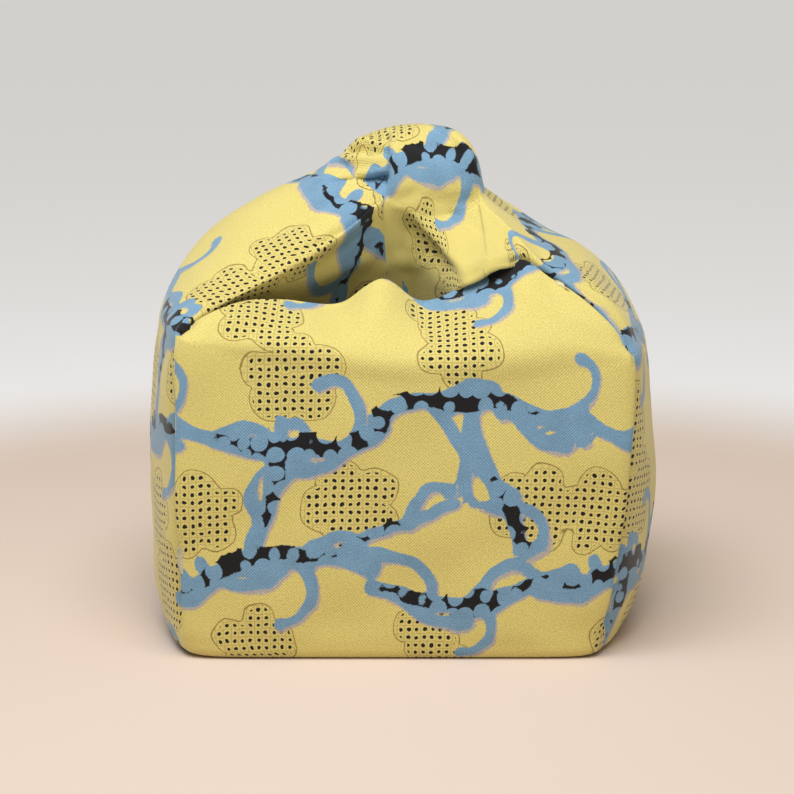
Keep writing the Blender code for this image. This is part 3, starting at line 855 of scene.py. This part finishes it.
def cloth_sheet():
    """Lay out the whole cloth and return it."""
    place, front = column_places()
    cloth = Cloth()
    top, numbers, widths, heights = add_body(cloth, place)
    add_flap(cloth, top, numbers, place, front, widths, heights)

    sides = np.append(place[front - 1 :], 4.0)
    base = np.vstack([top[front - 1 :], top[:1]])
    base_numbers = numbers[front - 1 :] + numbers[:1]
    base_heights = np.append(heights[front - 1 :], heights[0])
    hood, grid, left_edge, right_edge = add_hood(
        cloth, base, base_numbers, sides, widths[front - 1 :], base_heights
    )

    arc = knot_front(hood[-1][-1], hood[-1][0])
    arc_numbers = cloth.add_row(arc, "knot")
    knot, knot_places = add_knot(cloth, hood[-1], grid[-1], sides, arc, arc_numbers)

    left_rim, right_rim = hood[1:, -1], hood[1:, 0]
    left_beside, right_beside = hood[1:, -2].copy(), hood[1:, 1].copy()
    above = knot[1][len(sides) - 1 :]
    left_beside[-1] = (left_beside[-1] + above[0]) / 2
    right_beside[-1] = (right_beside[-1] + knot[1][0]) / 2
    rim = np.vstack([left_rim, arc, right_rim[::-1]])
    rim_numbers = [row[-1] for row in grid[1:]] + arc_numbers + [row[0] for row in grid[:0:-1]]
    beside = np.vstack([left_beside, above[1:], right_beside[::-1]])
    way = np.arange(1, HOOD_ROWS + 1) / HOOD_ROWS
    middle = 1 + np.arange(1, KNOT_FRONT_STEPS) / KNOT_FRONT_STEPS
    along = np.concatenate([way, middle, 3 - way[::-1]])
    folds = curtain_rows(rim, np.array([top[0], top[front - 1]]), beside, along)
    knot_edge = np.vstack([knot_places[len(sides) - 1 :], knot_places[:1]])
    count = len(left_rim)
    edges = (
        (0, count - 1, left_edge[1:]),
        (count - 1, count + len(arc), knot_edge),
        (count + len(arc), len(rim) - 1, right_edge[:0:-1]),
    )
    add_curtain(cloth, rim, rim_numbers, folds, edges)
    return cloth


def soften(points, faces, passes, share):
    """Draw each point towards the middle of its neighbours, to round the meetings of the parts."""
    edges = np.array([pair for face in faces for pair in zip(face, face[1:] + face[:1])])
    edges = np.unique(np.sort(edges, axis=1), axis=0)
    count = np.bincount(edges.ravel(), minlength=len(points))[:, None]
    for _ in range(passes):
        total = np.zeros_like(points)
        np.add.at(total, edges[:, 0], points[edges[:, 1]])
        np.add.at(total, edges[:, 1], points[edges[:, 0]])
        points = points + (total / count - points) * share
    return points


def point_normals(points, faces):
    """Return the outward direction at each point. A triangle's last two corners are the same one."""
    normals = np.zeros_like(points)
    for size in (3, 4):
        corners = np.array([face for face in faces if len(face) == size])
        first, second, third, last = (points[corners[:, k]] for k in (0, 1, 2, size - 1))
        facing = np.cross(third - first, last - second)
        for corner in corners.T:
            np.add.at(normals, corner, facing)
    return unit(normals)


def camera_place():
    """Return the camera's place and its directions across, up and back."""
    rise = np.radians(CAMERA_RISE)
    across = np.array([1.0, 0.0, 0.0])
    up = np.array([0.0, np.sin(rise), np.cos(rise)])
    back = np.array([0.0, -np.cos(rise), np.sin(rise)])
    return np.array(CAMERA_TARGET) + back * CAMERA_DISTANCE, across, up, back


def seen_places(points):
    """Return where the camera sees the points, in millimetres at the target's distance."""
    camera, across, up, back = camera_place()
    ray = points - camera
    depth = -(ray @ back)
    return np.column_stack([ray @ across, ray @ up]) * (CAMERA_DISTANCE / depth)[:, None]


def fold_lift(seen, row):
    """Return how far a fold moves each point outward."""
    across, up, end_across, end_up, bow, width, height = row
    start, end = np.array([across, up]), np.array([end_across, end_up])
    run = end - start
    side = np.array([-run[1], run[0]]) / np.linalg.norm(run)
    share = np.clip((seen - start) @ run / (run @ run), 0, 1)
    line = start + share[:, None] * run + side * (4 * bow * share * (1 - share))[:, None]
    away = np.linalg.norm(seen - line, axis=1)
    along = np.sin(np.pi * np.clip(share, FOLD_END, 1 - FOLD_END)) ** FOLD_END_SHAPE
    return height * np.exp(-((away / width) ** 2)) * along


def settle(points):
    """Return how far the slack of the cloth moves each point, in long soft waves."""
    lift = np.zeros(len(points))
    for size, length, x, y, z, phase in SLACK:
        lift += size * np.sin(2 * np.pi / length * (points @ [x, y, z]) + phase)
    return lift * smooth_step(*SLACK_HEIGHTS, points[:, 2])


def press_folds(points, faces, parts):
    """Move the points for the folds of the table, on the side that faces the camera."""
    seen = seen_places(points)
    normals = point_normals(points, faces)
    lift = np.zeros(len(points))
    for part, *row in FOLDS:
        lift += np.where(np.isin(parts, part.split()), fold_lift(seen, row), 0)
    facing = smooth_step(0, FOLD_FACING, normals @ camera_place()[3])
    lift = lift * facing + settle(points)
    return points + normals * lift[:, None]


def hand_wobble(places):
    """Move the places a little to and fro, as a line that is drawn by hand wanders."""
    turn = 2 * np.pi * places / REPEAT
    moved = places.copy()
    for size, across, up, phase in WOBBLE:
        wave = turn @ [across, up] + phase
        moved += size * np.column_stack([np.sin(wave), np.cos(WOBBLE_TURN + wave)])
    return moved


def stroke(x, y, heading, length, first_bend, last_bend, first_half, last_half):
    """Return a brush stroke's path, headings and half widths."""
    steps = max(int(length / STROKE_STEP), 2)
    share = np.linspace(0, 1, steps + 1)
    bend = first_bend * share + (last_bend - first_bend) * share**2 / 2
    turned = np.radians(heading + length * bend)
    along = np.stack([np.cos(turned), np.sin(turned)], axis=1)
    middle = (along[1:] + along[:-1]) / 2 * length / steps
    path = np.vstack([[0, 0], np.cumsum(middle, axis=0)]) + [x, y]
    return path, turned, first_half + (last_half - first_half) * share


def vine_strokes():
    """Return the circles of each stroke of the vine."""
    stems = [stroke(*row) for row in STEMS]
    strokes = [np.column_stack([path, half]) for path, _, half in stems]
    for stem, share, turn, *rest in TWIGS:
        path, turned, _ = stems[stem]
        at = round(share * (len(path) - 1))
        twig, _, half = stroke(*path[at], np.degrees(turned[at]) + turn, *rest)
        drop = DROP_SIZE * np.linspace(0, 1, len(half)) ** DROP_SHAPE
        strokes.append(np.column_stack([twig, half + drop]))
    return strokes


def accent_strokes():
    """Return the circles of the dark stretches that run along the vine's stems."""
    stems = [stroke(*row) for row in STEMS]
    strokes = []
    for stem, first, last, sideways, first_half, last_half in ACCENTS:
        path, turned, _ = stems[stem]
        at = np.arange(round(first * (len(path) - 1)), round(last * (len(path) - 1)) + 1)
        side = np.stack([-np.sin(turned[at]), np.cos(turned[at])], axis=1) * sideways
        half = np.linspace(first_half, last_half, len(at))
        strokes.append(np.column_stack([path[at] + side, half]))
    return strokes


def blossom_strokes():
    """Return the circles of each blossom's heart and lobes."""
    strokes = []
    for x, y, radius, turn in BLOSSOMS:
        angles = np.radians(turn + 360 / BLOSSOM_LOBES * np.arange(BLOSSOM_LOBES))
        lobe_x = x + radius * LOBE_PLACE * np.cos(angles)
        lobe_y = y + radius * LOBE_PLACE * np.sin(angles)
        lobes = np.column_stack([lobe_x, lobe_y, np.full(BLOSSOM_LOBES, radius * LOBE_RADIUS)])
        strokes.append(np.vstack([[x, y, radius * HEART_RADIUS], lobes]))
    return strokes


def outline_distance(strokes, places, fillet=0.0):
    """Return how far the places lie outside the strokes' outline, in millimetres, below 0 inside it."""
    nearest = np.full(len(places), FAR_AWAY)
    for circles in strokes:
        own = np.full(len(places), FAR_AWAY)
        for x, y, radius in circles:
            across = places[:, 0] - x
            across -= REPEAT[0] * np.round(across / REPEAT[0])
            up = places[:, 1] - y
            up -= REPEAT[1] * np.round(up / REPEAT[1])
            np.minimum(own, np.sqrt(across**2 + up**2) - radius, out=own)
        blend = np.clip(1 - np.abs(nearest - own) / fillet, 0, 1) if fillet else 0
        nearest = np.minimum(nearest, own) - blend**2 * fillet / 4
    return nearest


def print_layers(places):
    """Return each layer of the print as its distance from the outline at each face corner."""
    spots, corner = np.unique(np.round(places, 2), axis=0, return_inverse=True)
    corner = corner.ravel()
    spots = hand_wobble(spots)
    vine = vine_strokes()
    distances = (
        outline_distance(vine, spots, JOINT_FILLET),
        outline_distance(vine, spots + FRINGE_SHIFT, JOINT_FILLET),
        outline_distance(accent_strokes(), spots),
        outline_distance(blossom_strokes(), spots),
    )
    return {layer: values[corner] for layer, values in zip(PRINT_LAYERS, distances)}


def srgb(text):
    """Turn an sRGB hex value into a linear colour, by the numbers of the sRGB standard."""
    values = [int(text[i : i + 2], 16) / 255 for i in (1, 3, 5)]
    return tuple(v / 12.92 if v <= 0.04045 else ((v + 0.055) / 1.055) ** 2.4 for v in values)


def shade(colour, share=1.0):
    """Return a colour at this share of its brightness, in the four numbers that a node takes."""
    return (*(value * share for value in colour), 1.0)


def add_node(tree, kind, links=None, **settings):
    """Add a shader node with its settings, and set or link its inputs by name or number."""
    node = tree.nodes.new("ShaderNode" + kind)
    for name, value in settings.items():
        setattr(node, name, value)
    for name, value in (links or {}).items():
        if isinstance(value, bpy.types.NodeSocket):
            tree.links.new(value, node.inputs[name])
        else:
            node.inputs[name].default_value = value
    return node


def colour_setting(name, description, default):
    """Return a setting for a colour, whose default is an sRGB hex value."""
    return bpy.props.FloatVectorProperty(
        name=name, description=description, default=srgb(default), subtype="COLOR"
    )


def number_setting(name, description, default, unit="NONE"):
    """Return a setting for a number that can't be below 0."""
    return bpy.props.FloatProperty(name=name, description=description, default=default, min=0.0, unit=unit)


class ClothSizes(bpy.types.PropertyGroup):
    """The cloth's sizes."""

    cut_side: number_setting("Cut side", "Side of the square of cloth before wrapping", 0.68, "LENGTH")
    built_area: number_setting("Built area", "Area of the layer of cloth that is built", 0.15, "AREA")
    thickness: number_setting("Thickness", "Thickness of the cotton cloth", 0.0012, "LENGTH")
    thread_pitch: number_setting("Thread pitch", "Distance between the drawn threads", 0.0006, "LENGTH")
    dot_pitch: number_setting("Dot pitch", "Distance between the blossoms' dots", 0.0031, "LENGTH")


class PrintColours(bpy.types.PropertyGroup):
    """The colours of the dyed cloth and of its print."""

    ground: colour_setting("Ground", "Yellow ground of the cloth", "#DFD07C")
    vine: colour_setting("Vine", "Blue of the vine", "#769DBC")
    accent: colour_setting("Accent", "Dark stretches and dots", "#0F0E12")
    fringe: colour_setting("Fringe", "Pale fringe beside the vine", "#ABA4AC")
    lattice: colour_setting("Lattice", "Thin lines of the blossoms", "#7F662E")
    reverse: colour_setting("Reverse", "The cloth's unprinted side", "#E2D6A4")


class StageSettings(bpy.types.PropertyGroup):
    """The plain studio stage."""

    floor: colour_setting("Floor", "Pale matt floor", "#D8C8BE")
    far_floor: colour_setting("Far floor", "Pale grey of the floor far from the bag", "#F4F7FF")
    floor_size: number_setting("Floor size", "Side of the square floor", 12.0, "LENGTH")
    pool: number_setting("Warm pool", "Radius at which the floor turns from warm to grey", 0.4, "LENGTH")
    sky_strength: number_setting("Sky light", "Strength of the broad light from above", 1.45)
    sky_softness: number_setting(
        "Sky softness", "Angle over which the broad light spreads", float(np.radians(55)), "ROTATION"
    )
    key_power: number_setting("Key light", "Power of the large light above the front", 3.3, "POWER")
    surroundings: colour_setting("Surroundings", "Warm tone of the light all round", "#F8E9C9")
    world_strength: number_setting("Surrounding light", "Strength of the even light all round", 0.32)


def printed_area(tree, distance, ragged, edge):
    """Return how much dye lies at each place by its distance from the outline, with a worn edge."""
    wear, full, none = EDGES[edge]
    worn = add_node(tree, "Math", {0: ragged, 1: wear, 2: distance}, operation="MULTIPLY_ADD")
    limits = {"From Min": full + wear / 2, "From Max": none + wear / 2, "To Min": 1.0, "To Max": 0.0}
    return add_node(tree, "MapRange", {"Value": worn.outputs[0], **limits}).outputs[0]


def blossom_dyes(tree, flat, distance, ragged, dot_pitch):
    """Return the dye of the blossoms' lattice lines, outlines and dots."""
    cells = add_node(tree, "VectorMath", {0: flat, "Scale": MM / dot_pitch}, operation="SCALE")
    drift = add_node(tree, "TexNoise", {"Vector": flat, "Scale": DOT_DRIFT_SCALE, "Detail": 1.0})
    shaky = {0: drift.outputs["Color"], 1: HALF_CELL, 2: cells.outputs[0]}
    nudged = add_node(tree, "VectorMath", shaky, operation="MULTIPLY_ADD")
    cell = add_node(tree, "VectorMath", {0: nudged.outputs[0]}, operation="FRACTION")
    centred = {0: cell.outputs[0], 1: HALF_CELL}
    centred = add_node(tree, "VectorMath", centred, operation="SUBTRACT").outputs[0]
    away = add_node(tree, "VectorMath", {0: centred}, operation="LENGTH").outputs["Value"]
    sides = add_node(tree, "VectorMath", {0: centred}, operation="ABSOLUTE")
    sides = add_node(tree, "SeparateXYZ", {0: sides.outputs[0]}).outputs
    beside = add_node(tree, "Math", {0: sides["X"], 1: sides["Y"]}, operation="MAXIMUM").outputs[0]
    lines = printed_area(tree, beside, ragged, "lattice line")
    within = printed_area(tree, distance, ragged, "latticed area")
    lines = add_node(tree, "Math", {0: lines, 1: within}, operation="MULTIPLY").outputs[0]
    dots = printed_area(tree, away, ragged, "dot")
    within = printed_area(tree, distance, ragged, "dotted area")
    dots = add_node(tree, "Math", {0: dots, 1: within}, operation="MULTIPLY").outputs[0]
    rim = add_node(tree, "Math", {0: distance}, operation="ABSOLUTE").outputs[0]
    return lines, printed_area(tree, rim, ragged, "blossom outline"), dots


def dark_dye(tree, flat, distance, ragged):
    """Return the dye of the dark stretches, which is left out in rounds that grow to the edge."""
    rounds = {"Vector": flat, "Scale": 1 / ROUND_SIZE, "Randomness": ROUND_DISORDER}
    rounds = add_node(tree, "TexVoronoi", rounds)
    size = {0: distance, 1: -ROUND_GROWTH, 2: -ROUND_START}
    size = add_node(tree, "Math", size, operation="MULTIPLY_ADD")
    past = {0: rounds.outputs["Distance"], 1: size.outputs[0]}
    past = add_node(tree, "Math", past, operation="ADD").outputs[0]
    between = printed_area(tree, past, ragged, "between rounds")
    stretch = printed_area(tree, distance, ragged, "dark stretch")
    return add_node(tree, "Math", {0: stretch, 1: between}, operation="MULTIPLY").outputs[0]


def cotton(name, sizes, colours, reverse=False):
    """Plain-weave cotton, screen printed and unglazed.

    The threads give it a fine matt grain, the print soaks in with ragged edges, and there is no gloss
    but a faint sheen of loose fibres. The reverse is plain, with the print showing through faintly. The
    threads are drawn about twice as coarse as real ones, which the view could not show.
    """
    material = bpy.data.materials.new(name)
    material.use_nodes = True
    tree = material.node_tree
    shader = tree.nodes["Principled BSDF"]
    shader.inputs["Roughness"].default_value = 0.8
    shader.inputs["IOR"].default_value = 1.46
    shader.inputs["Specular IOR Level"].default_value = 0.3
    shader.inputs["Sheen Weight"].default_value = 0.3
    shader.inputs["Sheen Roughness"].default_value = 0.45

    places = add_node(tree, "UVMap", uv_map="print").outputs["UV"]
    flat = add_node(tree, "VectorMath", {0: places, "Scale": 1 / MM}, operation="SCALE").outputs[0]
    noises = [{"Vector": flat, "Scale": scale, "Detail": detail} for scale, detail in NOISES]
    ragged, cloud, wash, slub = (
        add_node(tree, "TexNoise", noise).outputs["Fac"] for noise in noises
    )
    vine, fringe, accent, blossom = (
        add_node(tree, "Attribute", attribute_name=layer).outputs["Fac"] for layer in PRINT_LAYERS
    )

    ground = colours.reverse if reverse else colours.ground
    tones = {0: cloud, 6: shade(ground), 7: shade(ground, CLOUD_DARK)}
    base = add_node(tree, "Mix", tones, data_type="RGBA").outputs[2]
    tones = {0: wash, 6: shade(colours.vine, WASH_DARK), 7: shade(colours.vine, WASH_LIGHT)}
    washed = add_node(tree, "Mix", tones, data_type="RGBA").outputs[2]
    lines, outlines, dots = blossom_dyes(tree, flat, blossom, ragged, sizes.dot_pitch)
    dyes = (
        (lines, LATTICE_STRENGTH, shade(colours.lattice)),
        (outlines, OUTLINE_STRENGTH, shade(colours.lattice)),
        (dots, 1.0, shade(colours.accent)),
        (printed_area(tree, fringe, ragged, "fringe"), FRINGE_STRENGTH, shade(colours.fringe)),
        (printed_area(tree, vine, ragged, "vine"), 1.0, washed),
        (dark_dye(tree, flat, accent, ragged), 1.0, shade(colours.accent)),
    )
    for dye, strength, colour in dyes:
        soaked = {0: dye, 1: strength * (SHOW_THROUGH if reverse else 1.0)}
        share = add_node(tree, "Math", soaked, operation="MULTIPLY").outputs[0]
        base = add_node(tree, "Mix", {0: share, 6: base, 7: colour}, data_type="RGBA").outputs[2]

    scale = np.pi * MM / sizes.thread_pitch
    threads = add_node(tree, "VectorMath", {0: flat, "Scale": scale}, operation="SCALE")
    waves = add_node(tree, "VectorMath", {0: threads.outputs[0]}, operation="SINE")
    waves = add_node(tree, "SeparateXYZ", {0: waves.outputs[0]}).outputs
    weave = add_node(tree, "Math", {0: waves["X"], 1: waves["Y"]}, operation="MULTIPLY").outputs[0]
    height = {0: slub, 1: SLUB_HEIGHT, 2: weave}
    height = add_node(tree, "Math", height, operation="MULTIPLY_ADD").outputs[0]
    grain = {0: weave, 1: THREAD_GRAIN, 2: GRAIN_BASE}
    grain = add_node(tree, "Math", grain, operation="MULTIPLY_ADD").outputs[0]
    grain = {0: slub, 1: SLUB_GRAIN, 2: grain}
    grain = add_node(tree, "Math", grain, operation="MULTIPLY_ADD").outputs[0]
    tones = {0: 1.0, 6: base, 7: grain}
    grained = add_node(tree, "Mix", tones, data_type="RGBA", blend_type="MULTIPLY")
    tree.links.new(grained.outputs[2], shader.inputs["Base Color"])
    relief = {"Strength": RELIEF_STRENGTH, "Distance": RELIEF_HEIGHT, "Height": height}
    bump = add_node(tree, "Bump", relief)
    tree.links.new(bump.outputs[0], shader.inputs["Normal"])
    return material


def matt_sheet(name, stage):
    """Matt background paper, smooth and dull, which turns softly from a warm tone to pale grey."""
    material = bpy.data.materials.new(name)
    material.use_nodes = True
    tree = material.node_tree
    shader = tree.nodes["Principled BSDF"]
    shader.inputs["Roughness"].default_value = 0.95
    shader.inputs["Specular IOR Level"].default_value = 0.1
    where = add_node(tree, "TexCoord").outputs["Object"]
    away = add_node(tree, "VectorMath", {0: where}, operation="LENGTH").outputs["Value"]
    inner, outer = (stage.pool * share for share in POOL_EDGES)
    edges = {"Value": away, "From Min": inner, "From Max": outer}
    share = add_node(tree, "MapRange", edges, interpolation_type="SMOOTHSTEP").outputs[0]
    tones = {0: share, 6: shade(stage.floor), 7: shade(stage.far_floor)}
    paper = add_node(tree, "Mix", tones, data_type="RGBA").outputs[2]
    tree.links.new(paper, shader.inputs["Base Color"])
    return material


class KnottedClothAdd(bpy.types.Operator):
    """Build the knotted cloth on its CAD solid"""

    bl_idname = "cloth_bag.knotted_cloth_add"
    bl_label = "Knotted cloth"

    def execute(self, context):
        sizes, colours = context.scene.cloth_sizes, context.scene.print_colours
        cloth = cloth_sheet()
        parts = np.array(cloth.parts)
        points = soften(np.array(cloth.points), cloth.faces, SOFTENING_PASSES, SOFTENING_SHARE)
        points = press_folds(wrap_recess(points), cloth.faces, parts)
        mesh = bpy.data.meshes.new("cotton_cloth")
        mesh.from_pydata((points * MM).tolist(), [], cloth.faces)
        places = np.array(cloth.places)
        mesh.uv_layers.new(name="print").data.foreach_set("uv", (places * MM).ravel())
        for name, values in print_layers(places).items():
            layer = mesh.attributes.new(name, "FLOAT", "CORNER")
            layer.data.foreach_set("value", values)
        mesh.shade_smooth()
        mesh.materials.append(cotton("printed_cotton_canvas", sizes, colours))
        mesh.materials.append(cotton("printed_cotton_canvas_reverse", sizes, colours, reverse=True))
        piece = bpy.data.objects.new("cotton_cloth", mesh)
        context.collection.objects.link(piece)
        wall = piece.modifiers.new("wall", "SOLIDIFY")
        wall.thickness = sizes.thickness
        wall.offset = -1.0
        wall.material_offset = 1
        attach(piece, BODY_NAME)
        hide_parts(CLOTH_NODE)
        return {"FINISHED"}


class StudioStageAdd(bpy.types.Operator):
    """Set up the pale floor, the soft lights and the camera"""

    bl_idname = "cloth_bag.studio_stage_add"
    bl_label = "Studio stage"

    def execute(self, context):
        stage = context.scene.stage_settings
        mesh = bpy.data.meshes.new("floor")
        corners = [(-1, -1, 0), (1, -1, 0), (1, 1, 0), (-1, 1, 0)]
        mesh.from_pydata([Vector(corner) * stage.floor_size / 2 for corner in corners], [], [(0, 1, 2, 3)])
        mesh.materials.append(matt_sheet("matt_paper", stage))
        floor = bpy.data.objects.new("floor", mesh)
        context.collection.objects.link(floor)

        sun = bpy.data.lights.new("soft_sky", "SUN")
        sun.energy, sun.angle = stage.sky_strength, stage.sky_softness
        sun_lamp = bpy.data.objects.new("soft_sky", sun)
        sun_lamp.rotation_euler = Vector(SKY_DIRECTION).to_track_quat("-Z", "Y").to_euler()
        context.collection.objects.link(sun_lamp)

        key = bpy.data.lights.new("key", "AREA")
        key.shape = "RECTANGLE"
        key.size, key.size_y = KEY_SIZE
        key.energy = stage.key_power
        key_lamp = bpy.data.objects.new("key", key)
        key_lamp.location = KEY_PLACE
        key_aim = Vector(KEY_TARGET) - Vector(KEY_PLACE)
        key_lamp.rotation_euler = key_aim.to_track_quat("-Z", "Y").to_euler()
        context.collection.objects.link(key_lamp)

        world = bpy.data.worlds.new("surroundings")
        world.use_nodes = True
        background = world.node_tree.nodes["Background"]
        background.inputs["Color"].default_value = shade(stage.surroundings)
        background.inputs["Strength"].default_value = stage.world_strength
        context.scene.world = world

        view = bpy.data.cameras.new("camera")
        view.lens, view.sensor_width = CAMERA_LENS, CAMERA_SENSOR
        camera = bpy.data.objects.new("camera", view)
        place, _, _, back = camera_place()
        camera.location = Vector(place * MM)
        camera.rotation_euler = Vector(-back).to_track_quat("-Z", "Y").to_euler()
        context.collection.objects.link(camera)
        context.scene.camera = camera
        context.scene.view_settings.view_transform = "Standard"
        return {"FINISHED"}


class ClothBagPanel(bpy.types.Panel):
    """The bag's sizes, colours and steps"""

    bl_idname = "VIEW3D_PT_cloth_bag"
    bl_label = "Knotted cloth bag"
    bl_space_type = "VIEW_3D"
    bl_region_type = "UI"
    bl_category = "Cloth bag"

    def draw(self, context):
        layout = self.layout
        for group in (context.scene.cloth_sizes, context.scene.print_colours, context.scene.stage_settings):
            box = layout.box()
            for name in group.bl_rna.properties.keys():
                if name not in ("rna_type", "name"):
                    box.prop(group, name)
        for operator in (KnottedClothAdd, StudioStageAdd):
            layout.operator(operator.bl_idname)


CLASSES = (ClothSizes, PrintColours, StageSettings, KnottedClothAdd, StudioStageAdd, ClothBagPanel)


def register():
    """Register the classes and the scene's settings."""
    for kind in CLASSES:
        bpy.utils.register_class(kind)
    bpy.types.Scene.cloth_sizes = bpy.props.PointerProperty(type=ClothSizes)
    bpy.types.Scene.print_colours = bpy.props.PointerProperty(type=PrintColours)
    bpy.types.Scene.stage_settings = bpy.props.PointerProperty(type=StageSettings)


def unregister():
    """Take the settings and the classes away again."""
    del bpy.types.Scene.stage_settings
    del bpy.types.Scene.print_colours
    del bpy.types.Scene.cloth_sizes
    for kind in reversed(CLASSES):
        bpy.utils.unregister_class(kind)


def main():
    """Build the bag and its stage."""
    register()
    bpy.ops.cloth_bag.knotted_cloth_add()
    bpy.ops.cloth_bag.studio_stage_add()


if __name__ == "__main__":
    main()
